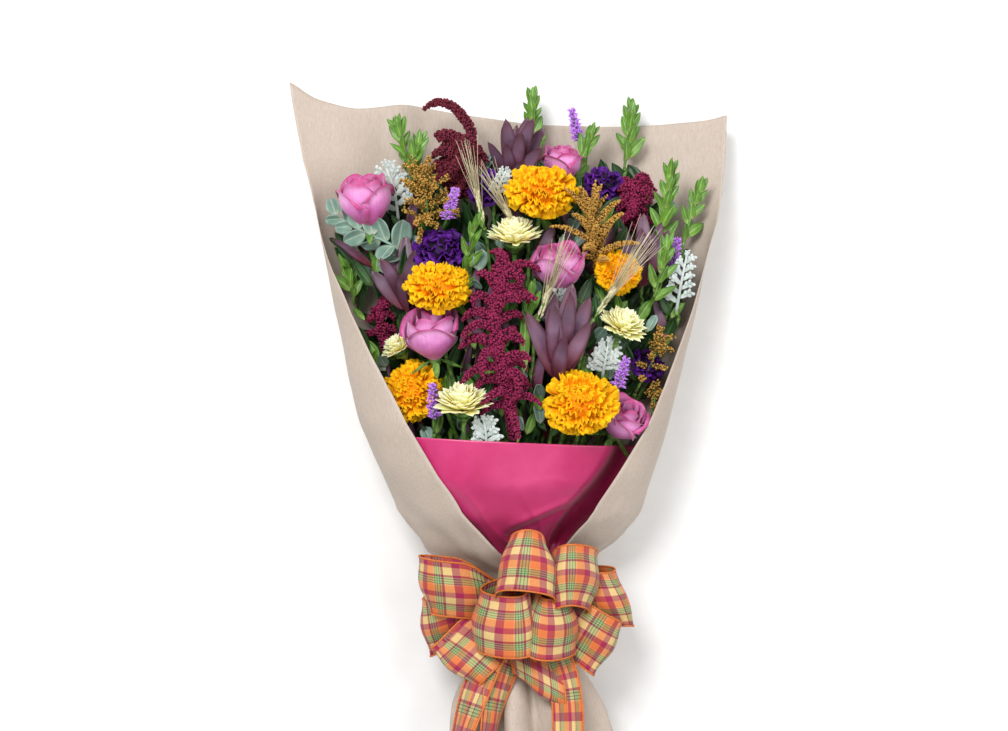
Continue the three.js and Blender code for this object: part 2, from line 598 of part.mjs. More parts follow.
function growSpray(name, path, { stalk = [2, 1], steps = 3, clearFoot = 0.15, items, grow, seed }) {
  const curve = new THREE.CatmullRomCurve3(path);
  const draw = seeded(seed * 97 + 5);
  const points = curve.getSpacedPoints(steps);
  const axisRod = rod(points, points.map((_, i) => mix(stalk[0], stalk[1], i / steps)), 3);
  if (!isClear(axisRod)) throw new Error(`the stalk of ${name} has no room`);
  const solids = [axisRod];
  for (let i = 0; i < items; i++) {
    for (let attempt = 0; attempt < 8; attempt++) {
      const t = mix(clearFoot, 1, (i + 0.5) / items);
      const item = grow({ i, t, at: curve.getPointAt(t), axis: curve.getTangentAt(t), draw, attempt });
      if (!isClear(item)) continue;
      solids.push(item);
      break;
    }
  }
  placed.set(name, fuse(solids));
  const axis = points[1].clone().sub(points[0]).normalize();
  feet.push({ name, at: path[0], axis, radius: stalk[0] });
}

// A bent rod with a nubbly surface, for clusters of tiny florets
function nubbly(at, axis, length, thick, sides, bumps, rise) {
  const rings = bumps * 2;
  const points = [];
  const radii = [];
  for (let k = 0; k <= rings; k++) {
    const t = k / rings;
    points.push(at.clone().addScaledVector(axis, length * t).add(V(0, rise * t * t, 0)));
    radii.push(k % rings ? thick * (k % 2 ? 1 : 0.68) * mix(1, 0.6, t * t) : 0);
  }
  return rod(points, radii, sides, at.x);
}

const turnOf = (i, attempt, draw) => i * 137.5 + attempt * 40 + draw() * 24;

// How each kind of spray is grown
const SPRAYS = {
  leafy: ({ length, width, spread, items }) => ({
    stalk: [1.6, 0.9], items,
    grow: ({ i, t, at, axis, draw, attempt }) => {
      const way = offAxis(axis, turnOf(i, attempt, draw), spread * mix(1.15, 0.45, t));
      const outline = [[0.45, 1]];
      const leaf = blade({ length: length * mix(1.1, 0.8, t), width, outline, bend: -14, cup: 0.2 });
      return moved(leaf, frameAt(at, way, axis));
    },
  }),
  lance: ({ length, width, spread, items }) => ({
    stalk: [2.2, 1.4], steps: 2, items,
    grow: ({ i, t, at, axis, draw, attempt }) => {
      const way = offAxis(axis, turnOf(i, attempt, draw), mix(spread, spread * 0.3, t));
      const outline = [[0.3, 0.9], [0.65, 0.85]];
      const leaf = blade({ length: length * mix(0.85, 1.05, draw()), width, outline, bend: 16, cup: 0.25, full: true });
      return moved(leaf, frameAt(at, way, axis));
    },
  }),
  plume: ({ length, thick, spread, items, sides = 4, stalk = [1.8, 1.2] }) => ({
    stalk, items, clearFoot: 0.3,
    grow: ({ i, t, at, axis, draw, attempt }) => {
      const way = offAxis(axis, turnOf(i, attempt, draw), spread * mix(1.1, 0.25, t));
      return nubbly(at, way, length * mix(1, 0.8, t) * mix(0.8, 1.15, draw()), thick, sides, 2, 3);
    },
  }),
  spike: ({ thick }) => ({
    stalk: [1.6, 1.2], steps: 1, clearFoot: 0.7, items: 1,
    grow: ({ at, axis, attempt }) => nubbly(at.addScaledVector(axis, -14), axis, 34, thick - attempt * 0.3, 6, 4, 0),
  }),
  barley: ({ length }) => ({
    stalk: [1.2, 1.2], steps: 1, items: 7,
    grow: ({ i, t, at, axis, draw, attempt }) => {
      const top = at.clone().addScaledVector(axis, -12 * t);
      if (i === 0) return nubbly(top, axis, 28, 3.8, 5, 3, 0);
      const root = top.addScaledVector(axis, 14 * t);
      const way = offAxis(axis, turnOf(i, attempt, draw), mix(6, 17, draw()));
      const reach = length * mix(0.75, 1, draw());
      const points = [0, 0.25, 1].map((share) => root.clone().addScaledVector(way, reach * share));
      return rod(points, [0, 0.7, 0], 3);
    },
  }),
  dusty: ({ length, width }) => ({
    stalk: [1.5, 1], steps: 2, items: 7,
    grow: ({ i, t, at, axis, draw, attempt }) => {
      const side = i % 2 ? 1 : -1;
      const spread = i === 6 ? 0 : mix(62, 30, t);
      const way = offAxis(axis, side * (90 + attempt * 12), spread);
      const lobe = { length: (i === 6 ? 0.45 : mix(1, 0.7, t)) * width, width: width * 0.42, outline: [[0.72, 1]] };
      return moved(blade({ ...lobe, bend: mix(-12, 12, draw()) }), frameAt(at, way));
    },
  }),
  round: ({ size, items }) => ({
    stalk: [1.8, 0.9], steps: 4, items,
    grow: ({ i, at, axis, draw, attempt }) => {
      const way = offAxis(axis, (i % 2 ? 90 : -90) + mix(-50, 50, draw()) + attempt * 24, mix(48, 70, draw()));
      const outline = [[0.34, 0.86], [0.78, 0.9]];
      return moved(blade({ length: size, width: size, outline, cup: 0.12 }), frameAt(at, way));
    },
  }),
};

// Foliage and filler: name, kind, points from the foot to the tip, sizes
const FOLIAGE = [
  ["amaranthus_centre", "plume", [V(6, -12, 122), V(-1, 30, 142), V(2, 100, 148), V(7, 150, 138)],
    { length: 42, thick: 7, spread: 54, items: 13, stalk: [4, 5] }],
  ["lance_leaves_centre", "lance", [V(52, 44, 112), V(54, 74, 126)],
    { length: 64, width: 15, spread: 46, items: 8 }],
  ["goldenrod_right", "plume", [V(84, 148, 92), V(82, 190, 112), V(84, 228, 116)],
    { length: 36, thick: 4, spread: 56, items: 8, sides: 3 }],
  ["goldenrod_left", "plume", [V(-92, 180, 62), V(-84, 216, 84), V(-92, 256, 86)],
    { length: 32, thick: 4, spread: 54, items: 8, sides: 3 }],
  ["amaranthus_top", "plume", [V(-42, 236, 48), V(-50, 268, 54), V(-44, 300, 54)],
    { length: 30, thick: 5.5, spread: 50, items: 6, stalk: [3, 4] }],
  ["amaranthus_right", "plume", [V(124, 196, 50), V(128, 228, 56), V(134, 254, 56)],
    { length: 27, thick: 5.5, spread: 54, items: 6, stalk: [3, 4] }],
  ["lance_leaves_top", "lance", [V(6, 232, 40), V(6, 256, 46)], { length: 54, width: 14, spread: 44, items: 6 }],
  ["green_top", "leafy", [V(22, 262, 26), V(24, 300, 28), V(25, 332, 30)],
    { length: 16, width: 7, spread: 40, items: 9 }],
  ["green_top_right", "leafy", [V(120, 262, 28), V(124, 292, 28), V(127, 320, 30)],
    { length: 16, width: 7, spread: 40, items: 10 }],
  ["green_right", "leafy", [V(150, 168, 62), V(158, 212, 70), V(164, 250, 72)],
    { length: 18, width: 8, spread: 44, items: 10 }],
  ["green_right_edge", "leafy", [V(180, 176, 56), V(190, 212, 58), V(196, 236, 60)],
    { length: 15, width: 7, spread: 40, items: 8 }],
  ["green_upper_left", "leafy", [V(-98, 246, 48), V(-107, 282, 52), V(-112, 300, 54)],
    { length: 15, width: 8, spread: 44, items: 8 }],
  ["liatris_top", "spike", [V(76, 280, 24), V(70, 304, 28)], { thick: 6 }],
  ["liatris_right", "spike", [V(162, 128, 82), V(167, 166, 88)], { thick: 6 }],
  ["liatris_lower_right", "spike", [V(108, 34, 104), V(112, 48, 112)], { thick: 6 }],
  ["liatris_lower_left", "spike", [V(-74, -10, 112), V(-75, 20, 118)], { thick: 6 }],
  ["dusty_miller_upper_left", "dusty", [V(-112, 206, 60), V(-116, 236, 66), V(-124, 258, 66)], { length: 44, width: 20 }],
  ["dusty_miller_right", "dusty", [V(176, 112, 86), V(180, 140, 94), V(184, 166, 96)], { length: 50, width: 20 }],
  ["dusty_miller_lower_right", "dusty", [V(94, 48, 104), V(96, 62, 112), V(99, 78, 112)], { length: 30, width: 18 }],
  ["dusty_miller_front", "dusty", [V(-24, -34, 134), V(-22, -14, 142), V(-24, 2, 144)], { length: 32, width: 18 }],
  ["goldenrod_lower_right", "plume", [V(136, -22, 68), V(146, 14, 84), V(148, 34, 88)],
    { length: 20, thick: 4, spread: 46, items: 5, sides: 3 }],
  ["lance_leaves_left", "lance", [V(-100, 104, 72), V(-106, 130, 78)], { length: 50, width: 14, spread: 40, items: 5 }],
  ["lance_leaves_right", "lance", [V(134, 130, 70), V(137, 154, 76)], { length: 52, width: 14, spread: 34, items: 5 }],
  ["eucalyptus_left", "round", [V(-112, 150, 56), V(-136, 166, 66), V(-160, 186, 70), V(-168, 206, 68)],
    { size: 21, items: 8 }],
  ["barley_left", "barley", [V(-24, 196, 96), V(-28, 214, 100)], { length: 62 }],
  ["barley_right", "barley", [V(84, 104, 130), V(92, 120, 138)], { length: 74 }],
  ["barley_centre", "barley", [V(30, 104, 134), V(34, 116, 138)], { length: 70 }],
];

placed.set("kraft_paper", kraftPaper());
placed.set("pink_paper", pinkPaper());
placed.set("waist_tie", waistTie());
placed.set("stem_band", stemBand());
placed.set("ribbon_bow", ribbonBow());
BLOOMS.forEach(addBloom);
FOLIAGE.forEach(([name, kind, path, size], i) => growSpray(name, path, { ...SPRAYS[kind](size), seed: i + 1 }));
shareOutSlots();
feet.forEach(addStem);
placed.set("stems", fuse(stemParts));

// Colour and roughness of each piece, by the first word or words of its name
const LOOKS = {
  kraft_paper: [0xdbcfc3, 0.85],
  pink_paper: [0xe03a78, 0.35],
  waist_tie: [0xd98a3e, 0.7],
  ribbon_bow: [0xd98a3e, 0.7],
  stem_band: [0x8a6a44, 0.6],
  stems: [0x4f7a33, 0.6],
  rose: [0xe08fd2, 0.55],
  marigold: [0xe89a08, 0.6],
  carnation: [0x42134c, 0.6],
  daisy: [0xf4eebb, 0.6],
  amaranthus: [0x862f58, 0.85],
  lance_leaves: [0x7d5a70, 0.5],
  goldenrod: [0x9a7630, 0.8],
  green: [0x6fa739, 0.5],
  liatris: [0x8f5fc8, 0.7],
  dusty_miller: [0xc9d3cf, 0.85],
  eucalyptus: [0x7f9a92, 0.55],
  barley: [0xb2ac8e, 0.7],
};

const bouquet = new THREE.Group();
for (const [name, solid] of placed) {
  const mesh = solid.getMesh();
  const geometry = new THREE.BufferGeometry();
  geometry.setAttribute("position", new THREE.BufferAttribute(mesh.vertProperties, 3));
  geometry.setIndex(new THREE.BufferAttribute(mesh.triVerts, 1));
  const [color, roughness] = Object.entries(LOOKS).find(([word]) => name.startsWith(word))[1];
  const node = new THREE.Mesh(geometry, new THREE.MeshStandardMaterial({ color, roughness, metalness: 0 }));
  node.name = name;
  bouquet.add(node);
}

export default bouquet;
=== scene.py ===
"""A wrapped bouquet of mixed flowers, lying on its back: roses, marigolds, carnations, cream daisies,
amaranthus, golden rod and greenery, in a kraft and a pink paper, tied with a plaid ribbon bow.

Sizes are in millimetres until a piece is set out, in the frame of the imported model: X to the right,
Y up the bouquet from its cut ends to its flowers, Z away from the floor.
"""

import math
import random

import bmesh
import bpy
from mathutils import Matrix, Vector, noise


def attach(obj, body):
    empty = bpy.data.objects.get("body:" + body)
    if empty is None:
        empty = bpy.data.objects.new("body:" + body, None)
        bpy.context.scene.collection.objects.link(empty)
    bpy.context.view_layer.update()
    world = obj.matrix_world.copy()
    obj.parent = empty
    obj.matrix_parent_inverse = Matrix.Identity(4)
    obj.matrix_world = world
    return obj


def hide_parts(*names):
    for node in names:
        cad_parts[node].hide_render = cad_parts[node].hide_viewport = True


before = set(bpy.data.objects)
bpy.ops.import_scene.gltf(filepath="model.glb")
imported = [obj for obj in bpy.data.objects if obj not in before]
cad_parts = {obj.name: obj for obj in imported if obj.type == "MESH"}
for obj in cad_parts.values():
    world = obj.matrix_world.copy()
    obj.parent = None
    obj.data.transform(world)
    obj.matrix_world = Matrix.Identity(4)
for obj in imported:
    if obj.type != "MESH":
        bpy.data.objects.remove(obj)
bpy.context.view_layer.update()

MM = 0.001
V = Vector
UP = V((0, 0, 1))
GOLDEN_ANGLE = 137.5

# The papers, by Y: the ends of each sheet, the tied waist, and where the kraft sheet's uneven top edge
# starts to show
KRAFT_ENDS = -344, 344
PINK_ENDS = -146, -17
WAIST_Y = -175
TRIM_Y = 265
KRAFT_THICKNESS = 0.7
PINK_THICKNESS = 0.35

# The bundle of stems: its middle and its rows at the waist, and its cut end
TIE = V((14, WAIST_Y, 26.9))
STEM_ROW = 3.72
ROW_SPACING = 4.3
STEM_RADIUS = 1.9
STEM_END_Y = -316
STEM_END_Z = 43

# The ribbon, the width of its folded tails and the middle of its knot
RIBBON_WIDTH = 60
TAIL_WIDTH = 30
RIBBON_THICKNESS = 0.5
WIRED_EDGE_RADIUS = 0.75
KNOT = V((17, -176, 65.8))


def mix(a, b, t):
    return a + (b - a) * t


def clamp(value):
    return min(max(value, 0.0), 1.0)


def ease(value, low, high):
    """From 0 below low to 1 above high, without corners."""
    t = clamp((value - low) / (high - low))
    return t * t * (3 - 2 * t)


def along(pairs, station):
    """The value at a station of a list of (station, value) pairs, on straight lines between them."""
    for (low, a), (high, b) in zip(pairs, pairs[1:]):
        if station <= high:
            return mix(a, b, clamp((station - low) / (high - low)))
    return pairs[-1][1]


def softly(pairs, station, reach=8):
    """The same with its corners rounded over a reach to both sides."""
    return sum(along(pairs, station + reach * k) for k in (-1, -0.5, 0, 0.5, 1)) / 5


def frame_at(foot, axis, facing=UP):
    """The frame of a piece that grows from foot towards axis, with its top side, X, towards facing."""
    z = axis.normalized()
    x = facing - z * facing.dot(z)
    if x.length < 1e-3:
        x = V((1, 0, 0)) - z * z.x
    x.normalize()
    made = Matrix((x, z.cross(x), z)).transposed().to_4x4()
    made.translation = foot
    return made


def off_axis(axis, turn, spread):
    """A direction spread degrees away from an axis, turned round it by turn degrees."""
    t, s = math.radians(turn), math.radians(spread)
    aside = V((math.cos(t) * math.sin(s), math.sin(t) * math.sin(s), math.cos(s)))
    return frame_at(V((0, 0, 0)), axis) @ aside


def smooth_line(points, count):
    """Points along a smooth curve through the given ones."""
    points = [V(point) for point in points]
    ends = [2 * points[0] - points[1], *points, 2 * points[-1] - points[-2]]
    line = []
    for i in range(count):
        t = i / (count - 1) * (len(points) - 1)
        k = min(int(t), len(points) - 2)
        t -= k
        a, b, c, d = ends[k : k + 4]
        square, cube = 2 * a - 5 * b + 4 * c - d, 3 * b - a - 3 * c + d
        line.append(0.5 * (2 * b + (c - a) * t + square * t * t + cube * t**3))
    return line


def walk(line, t):
    """The point and the way onwards at a share t of a line of points."""
    place = t * (len(line) - 1)
    k = min(int(place), len(line) - 2)
    return line[k].lerp(line[k + 1], place - k), (line[k + 1] - line[k]).normalized()


def run_at(line, k):
    """The way onwards at point k of a line."""
    return (line[min(k + 1, len(line) - 1)] - line[max(k - 1, 0)]).normalized()


def sagging(start, way, sag, reach, count):
    """Points along a shoot that sets out one way and sags more and more towards its tip."""
    line = [start]
    for k in range(1, count + 1):
        line.append(line[-1] + (way + sag * (k / count) ** 2).normalized() * reach / count)
    return line


def start_mesh():
    bm = bmesh.new()
    bm.loops.layers.uv.new("UVMap")
    return bm


def skin(bm, columns, rows, place, size=(1, 1), finish=0, start=0):
    """Adds a grid of quads with its corners at place(u, v), both from 0 to 1. Its UV map has the given
    size and starts so far up."""
    made = bmesh.ops.create_grid(bm, x_segments=columns, y_segments=rows, size=0.5)["verts"]
    uv = bm.loops.layers.uv.active
    for face in {face for vert in made for face in vert.link_faces}:
        face.material_index = finish
        for loop in face.loops:
            loop[uv].uv = ((loop.vert.co.x + 0.5) * size[0], (loop.vert.co.y + 0.5) * size[1] + start)
    for vert in made:
        vert.co = place(vert.co.x + 0.5, vert.co.y + 0.5)
    return made


def tube(bm, line, radii, sides=8, size=(1, 1), finish=0):
    """Adds a round stalk along a line of points with a radius at each, closed at both ends."""
    line = [line[0], *line, line[-1]]
    radii = [0, *radii, 0]
    frames = []
    facing = UP  # each frame starts from the facing of the last, so that the tube doesn't twist
    for i, point in enumerate(line):
        run = line[min(i + 2, len(line) - 1)] - line[max(i - 2, 0)]
        frames.append(frame_at(point, run, facing))
        facing = frames[-1].col[0].xyz

    def place(u, v):
        k = round(v * (len(line) - 1))
        turn = 2 * math.pi * u
        return frames[k] @ V((math.cos(turn) * radii[k], math.sin(turn) * radii[k], 0))

    made = skin(bm, sides, len(line) - 1, place, size, finish)
    bmesh.ops.remove_doubles(bm, verts=made, dist=0.001)


def stalk(bm, line, thick, thin, finish=0):
    """Adds a stalk along a line of points, from one radius to another."""
    tube(bm, line, [mix(thick, thin, k / (len(line) - 1)) for k in range(len(line))], 6, finish=finish)


def bent(length, curve, v, high):
    """X and Z, at a share v of the length of a petal that bends by curve, of a point so high above it."""
    lean = curve * v
    x = length * (1 - math.cos(lean)) / curve + math.cos(lean) * high
    z = length * math.sin(lean) / curve - math.sin(lean) * high
    return x, z


def blade(bm, foot, length, width, belly, bend=0, cup=0.3, wave=0, twist=0, grid=(3, 6), finish=0):
    """Adds a leaf or a strap petal. It grows along the frame's Z, its top side faces X and it bends by
    `bend` degrees towards X. belly says how fast it widens from the root and narrows to the tip."""
    widest = belly[0] / (belly[0] + belly[1])
    full = widest ** belly[0] * (1 - widest) ** belly[1]
    curve = math.radians(bend) or 1e-4

    def place(u, v):
        half = width / 2 * v ** belly[0] * max(0, 1 - v) ** belly[1] / full
        side = 2 * u - 1
        rise = cup * half * abs(side) ** 1.5 + wave * side * side * math.sin(11 * v + 3 * side)
        turn = math.radians(twist) * v
        high = rise * math.cos(turn) - side * half * math.sin(turn)
        wide = rise * math.sin(turn) + side * half * math.cos(turn)
        x, z = bent(length, curve, v, high)
        return foot @ V((x, wide, z))

    made = skin(bm, *grid, place, finish=finish)
    bmesh.ops.remove_doubles(bm, verts=made, dist=0.001)


def small_bud():
    """A little closed bud, one unit in radius, kept as a mesh to be copied many times."""
    bm = start_mesh()
    bmesh.ops.create_uvsphere(bm, u_segments=4, v_segments=3, radius=1, calc_uvs=True)
    for face in bm.faces:
        face.material_index = 1
    mesh = bpy.data.meshes.new("bud")
    bm.to_mesh(mesh)
    bm.free()
    return mesh


BUD = small_bud()


def stamp(bm, place):
    """Adds a copy of the little bud."""
    copy = BUD.copy()
    copy.transform(place)
    bm.from_mesh(copy)
    bpy.data.meshes.remove(copy)


def rope(bm, line, draw, radius, spacing=2.4, size=1.4, slim=0.55, long=1.5, lean=0.5):
    """Covers a line of points with florets, on a core that keeps it from being seen through. The rope
    narrows to a share, slim, of its radius; the florets are so many times as long as wide and lean on."""
    length = sum((b - a).length for a, b in zip(line, line[1:]))
    thickness = [(0, 0.8), (0.35, 1), (0.8, mix(slim, 1, 0.4)), (1, slim * 0.6)]
    core = [max(0.2, radius * along(thickness, i / (len(line) - 1)) - 0.6 * size) for i in range(len(line))]
    # the core's UV map reaches only a fifth of the way up, so it takes the florets' dark root colours, their
    # painted shade
    tube(bm, line, core, 6, (1, 0.2), 1)
    steps = max(2, round(length / spacing))
    for step in range(steps + 1):
        t = step / steps
        point, run = walk(line, t)
        r = radius * along(thickness, t)
        count = max(3, round(2 * math.pi * r / spacing))
        ring = frame_at(point, run)
        start = draw.uniform(0, 2 * math.pi)
        for k in range(count):
            turn = start + 2 * math.pi * (k + draw.uniform(-0.3, 0.3)) / count
            outward = ring.to_3x3() @ V((math.cos(turn), math.sin(turn), 0))
            grown = size * draw.uniform(0.7, 1.3)
            at = point + outward * (r - 0.5 * size) + run * draw.uniform(-0.5, 0.5) * spacing
            stamp(bm, frame_at(at, outward + run * lean) @ Matrix.Diagonal((grown, grown, grown * long, 1)))


def set_out(name, bm, finishes, slot, node=None, thickness=0, offset=0):
    """Makes a filled bmesh a piece of the bouquet, in metres, that stands for a node of the model."""
    bmesh.ops.scale(bm, vec=(MM, MM, MM), verts=bm.verts)
    mesh = bpy.data.meshes.new(name)
    bm.to_mesh(mesh)
    bm.free()
    mesh.shade_smooth()
    for finish in finishes:
        mesh.materials.append(finish)
    piece = bpy.data.objects.new(name, mesh)
    bpy.context.scene.collection.objects.link(piece)
    if thickness:
        wall = piece.modifiers.new("thickness", "SOLIDIFY")
        wall.thickness = thickness * MM
        wall.offset = offset
    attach(piece, "root")
    if node:
        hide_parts(node)
    return piece


def linear(hexed):
    """A colour given as sRGB hex, as the shader's linear one."""
    parts = [int(hexed[i : i + 2], 16) / 255 for i in (0, 2, 4)]
    return (*[c / 12.92 if c <= 0.04045 else ((c + 0.055) / 1.055) ** 2.4 for c in parts], 1)


def add(tree, kind, inputs=None, **settings):
    """Adds a shader node, sets it up, and fills or links its inputs."""
    made = tree.nodes.new("ShaderNode" + kind)
    for key, value in settings.items():
        setattr(made, key, value)
    for socket, value in (inputs or {}).items():
        if isinstance(value, bpy.types.NodeSocket):
            tree.links.new(value, made.inputs[socket])
        else:
            made.inputs[socket].default_value = value
    return made


def maths(tree, operation, a, b=0.0):
    return add(tree, "Math", {0: a, 1: b}, operation=operation).outputs[0]


def fit(tree, value, low, high, at_low, at_high):
    """A value's range from low to high laid on another one."""
    return add(tree, "MapRange", {0: value, 1: low, 2: high, 3: at_low, 4: at_high}).outputs[0]


def cloud(tree, place, scale, detail, **more):
    """Noise with patches of about 1 / scale."""
    return add(tree, "TexNoise", {"Vector": place, "Scale": scale, "Detail": detail, **more}).outputs[0]


def blend(tree, share, below, above, way="MIX"):
    return add(tree, "MixRGB", {0: share, 1: below, 2: above}, blend_type=way).outputs[0]


def ramp(tree, value, stops, kind="LINEAR"):
    """A colour that follows a value, given by (value, colour) stops."""
    made = add(tree, "ValToRGB", {0: value})
    made.color_ramp.interpolation = kind
    elements = made.color_ramp.elements
    elements.remove(elements[1])
    elements[0].position, elements[0].color = stops[0][0], linear(stops[0][1])
    for station, colour in stops[1:]:
        elements.new(station).color = linear(colour)
    return made.outputs[0]


def stretch(tree, place, scale):
    return add(tree, "Mapping", {"Vector": place, "Scale": scale}).outputs[0]


def new_finish(name):
    """An empty finish, its node tree and the coordinates to lay its pattern by."""
    finish = bpy.data.materials.new(name)
    finish.use_nodes = True
    finish.node_tree.nodes.clear()
    return finish, finish.node_tree, add(finish.node_tree, "TexCoord").outputs


def close_finish(tree, colour, roughness, height, relief, **shader):
    """Ends a finish with its shader: its colour, its roughness, and a relief of so many millimetres."""
    bump = add(tree, "Bump", {"Height": height, "Distance": relief * MM}).outputs[0]
    inputs = {"Base Color": colour, "Roughness": roughness, "Normal": bump, **shader}
    add(tree, "OutputMaterial", {"Surface": add(tree, "BsdfPrincipled", inputs).outputs[0]})


def petal_finish(
    name, stops, roughness, veins, vein_depth, mottle, patch, relief, rim=None, midrib=None, **shader
):
    """Living tissue: a colour that changes from root to tip, to a rim at both sides and to a midrib, with
    fine veins along it and soft patches of so many millimetres."""
    finish, tree, place = new_finish(name)
    across = add(tree, "SeparateXYZ", {0: place["UV"]}).outputs
    blotch = cloud(tree, place["Object"], 1000 / patch, 3.0)
    station = maths(tree, "ADD", across[1], maths(tree, "MULTIPLY", blotch, 0.3))
    tone = ramp(tree, maths(tree, "SUBTRACT", station, 0.15), stops)
    side = maths(tree, "ABSOLUTE", maths(tree, "SUBTRACT", across[0], 0.5))
    if rim:
        tone = blend(tree, fit(tree, side, 0.28, 0.5, 0.0, 0.8), tone, linear(rim))
    if midrib:
        tone = blend(tree, fit(tree, side, 0.02, 0.07, 0.75, 0.0), tone, linear(midrib))
    vein = cloud(tree, stretch(tree, place["UV"], (veins, 1.5, 1)), 1.0, 2.0)
    dark = fit(tree, vein, 0.3, 0.7, 1 - vein_depth, 1.0)
    light = fit(tree, blotch, 0.3, 0.7, 1 - mottle, 1 + mottle * 0.6)
    colour = blend(tree, 1.0, tone, maths(tree, "MULTIPLY", dark, light), "MULTIPLY")
    close_finish(tree, colour, roughness, vein, relief, **shader)
    return finish


def bud_finish(name, dark, middle, light, grain, roughness=0.8, **shader):
    """Clusters of tiny florets, dark at their roots as painted shade deep among them and light at their tips
    as a painted highlight, no two quite alike.
    """
    finish, tree, place = new_finish(name)
    outwards = add(tree, "SeparateXYZ", {0: place["UV"]}).outputs[1]
    fine = cloud(tree, place["Object"], 1000 / grain, 4.0)
    station = maths(tree, "ADD", outwards, maths(tree, "MULTIPLY", fine, 1.4))
    stops = [(0.1, dark), (0.5, middle), (1.0, light)]
    colour = ramp(tree, maths(tree, "SUBTRACT", station, 0.6), stops)
    close_finish(tree, colour, roughness, fine, 0.5, **shader)
    return finish


def kraft_finish():
    """Unbleached kraft paper, machine glazed: a dull sheen, long fibres up the sheet and dark specks."""
    finish, tree, place = new_finish("kraft paper")
    # fibres about 1 mm across and 11 mm long, coarser than the paper's own so that they show
    long = stretch(tree, place["Object"], (900, 90, 900))
    fibres = cloud(tree, long, 1.0, 5.0, Roughness=0.65)
    tone = ramp(tree, fibres, [(0.3, "b5a596"), (0.5, "bdaea1"), (0.7, "c5b8ac")])
    shade = fit(tree, cloud(tree, place["Object"], 14.0, 4.0), 0.3, 0.7, 0.94, 1.03)
    soft = blend(tree, 1.0, tone, shade, "MULTIPLY")
    specks = fit(tree, cloud(tree, place["Object"], 420.0, 1.0), 0.7, 0.76, 0.0, 0.35)
    colour = blend(tree, specks, soft, linear("8f7157"))
    close_finish(tree, colour, 0.62, fibres, 0.07, **{"Specular IOR Level": 0.35})
    return finish


def pink_finish():
    """Floral paper with a waxy waterproof coat: strong magenta, smooth and a little glossy."""
    finish, tree, place = new_finish("coated pink paper")
    uneven = cloud(tree, place["Object"], 22.0, 3.0)
    colour = ramp(tree, uneven, [(0.3, "b5175a"), (0.5, "c02566"), (0.7, "cb3373")])
    shine = {"Coat Weight": 0.35, "Coat Roughness": 0.25, "Sheen Weight": 0.1}
    close_finish(tree, colour, 0.42, cloud(tree, place["Object"], 500.0, 3.0), 0.03, **shine)
    return finish


# Metres from one broad crimson band of the plaid to the next, across the ribbon and along it
PLAID_REPEATS = 0.030, 0.041
# The bands from the start of one broad crimson band to the next, by their share of the repeat
PLAID = [
    (0.0, "ac1050"), (0.19, "f2d088"), (0.44, "9a1046"), (0.51, "aac07c"), (0.55, "2b6242"),
    (0.575, "aac07c"), (0.63, "2b6242"), (0.655, "aac07c"), (0.705, "2b6242"), (0.73, "f0a462"),
    (0.77, "ee7c3a"),
]


def plaid_finish(name, unrolled):
    """Yarn-dyed plaid taffeta: two sets of coloured bands that cross, a silky sheen and threads that just
    show. It follows the unrolled ribbon's UV map, or on the band round the waist the way round it."""
    finish, tree, place = new_finish(name)
    spot = add(tree, "SeparateXYZ", {0: place["UV" if unrolled else "Object"]}).outputs
    ways = (spot[0], spot[1]) if unrolled else (spot[1], maths(tree, "ADD", spot[0], spot[2]))
    bands = []
    for way, repeat in zip(ways, PLAID_REPEATS):
        share = maths(tree, "FRACT", maths(tree, "DIVIDE", way, repeat))
        bands.append(ramp(tree, share, PLAID, "CONSTANT"))
    even = blend(tree, 0.5, *bands)
    darker = blend(tree, 1.0, *bands, "DARKEN")
    cross = blend(tree, 0.45, even, darker)
    # threads 1 mm apart, coarser than the cloth's own so that they show
    threads = stretch(tree, place["UV"], (3500, 3500, 1))
    weave = add(tree, "TexChecker", {"Vector": threads, "Scale": 0.3}).outputs[1]
    shade = fit(tree, cloud(tree, threads, 0.25, 2.0), 0.3, 0.7, 0.68, 0.9)
    colour = blend(tree, 1.0, cross, shade, "MULTIPLY")
    close_finish(tree, colour, 0.6, weave, 0.08, **{"Sheen Weight": 0.25, "Sheen Roughness": 0.4})
    return finish


def plain_finish(name, dark, light, grain, roughness, relief=0.1):
    """One colour with a fine grain of its own, so many millimetres across."""
    finish, tree, place = new_finish(name)
    fine = cloud(tree, place["Object"], 1000 / grain, 4.0)
    close_finish(tree, ramp(tree, fine, [(0.35, dark), (0.65, light)]), roughness, fine, relief)
    return finish


# The index of refraction stays at the shader's 1.5, near that of wax, cellulose and silk. Petals are
# matt velvet and let a little light through, leaves shine softly on their waxy skin (roughness 0.4), and
# felted leaves and florets don't shine at all (0.85 and more).
KRAFT = kraft_finish()
PINK = pink_finish()
RIBBON = plaid_finish("plaid taffeta ribbon", True)
BAND = plaid_finish("plaid taffeta band", False)
WIRED_EDGE = plain_finish("satin-bound wired edge", "b4561c", "de7c30", 1.2, 0.45)
RUBBER = plain_finish("natural rubber band", "8a5f38", "a87a4c", 2, 0.6)
STEM = plain_finish("flower stem", "3f6b2a", "7ba24a", 5, 0.5, 0.3)
CUT = plain_finish("cut face of a stem", "b9c98a", "dde4bc", 1.5, 0.7)

# Petals and leaves: colours from root to tip, roughness, number and depth of veins, strength and size of
# patches, relief, rim and midrib

# Satin, with a painted highlight, a paler band where each petal's lip curves out, and deep magenta at its rim
ROSE = petal_finish(
    "rose petal", [(0.0, "e27ec2"), (0.2, "cf3c94"), (0.5, "e070c0"), (0.8, "efa2da"), (1.0, "c23282")],
    0.5, 26, 0.14, 0.12, 14, 0.15, "bf2f80",
    **{"Sheen Weight": 0.3, "Subsurface Weight": 0.12, "Subsurface Scale": 0.004},
)
# Dense matt orange, brighter at the frills
MARIGOLD = petal_finish(
    "marigold petal", [(0.0, "f28e00"), (0.35, "f79e00"), (0.7, "fbae00"), (1.0, "ffc60a")],
    0.75, 14, 0.12, 0.22, 9, 0.25, **{"Specular IOR Level": 0.2},
)
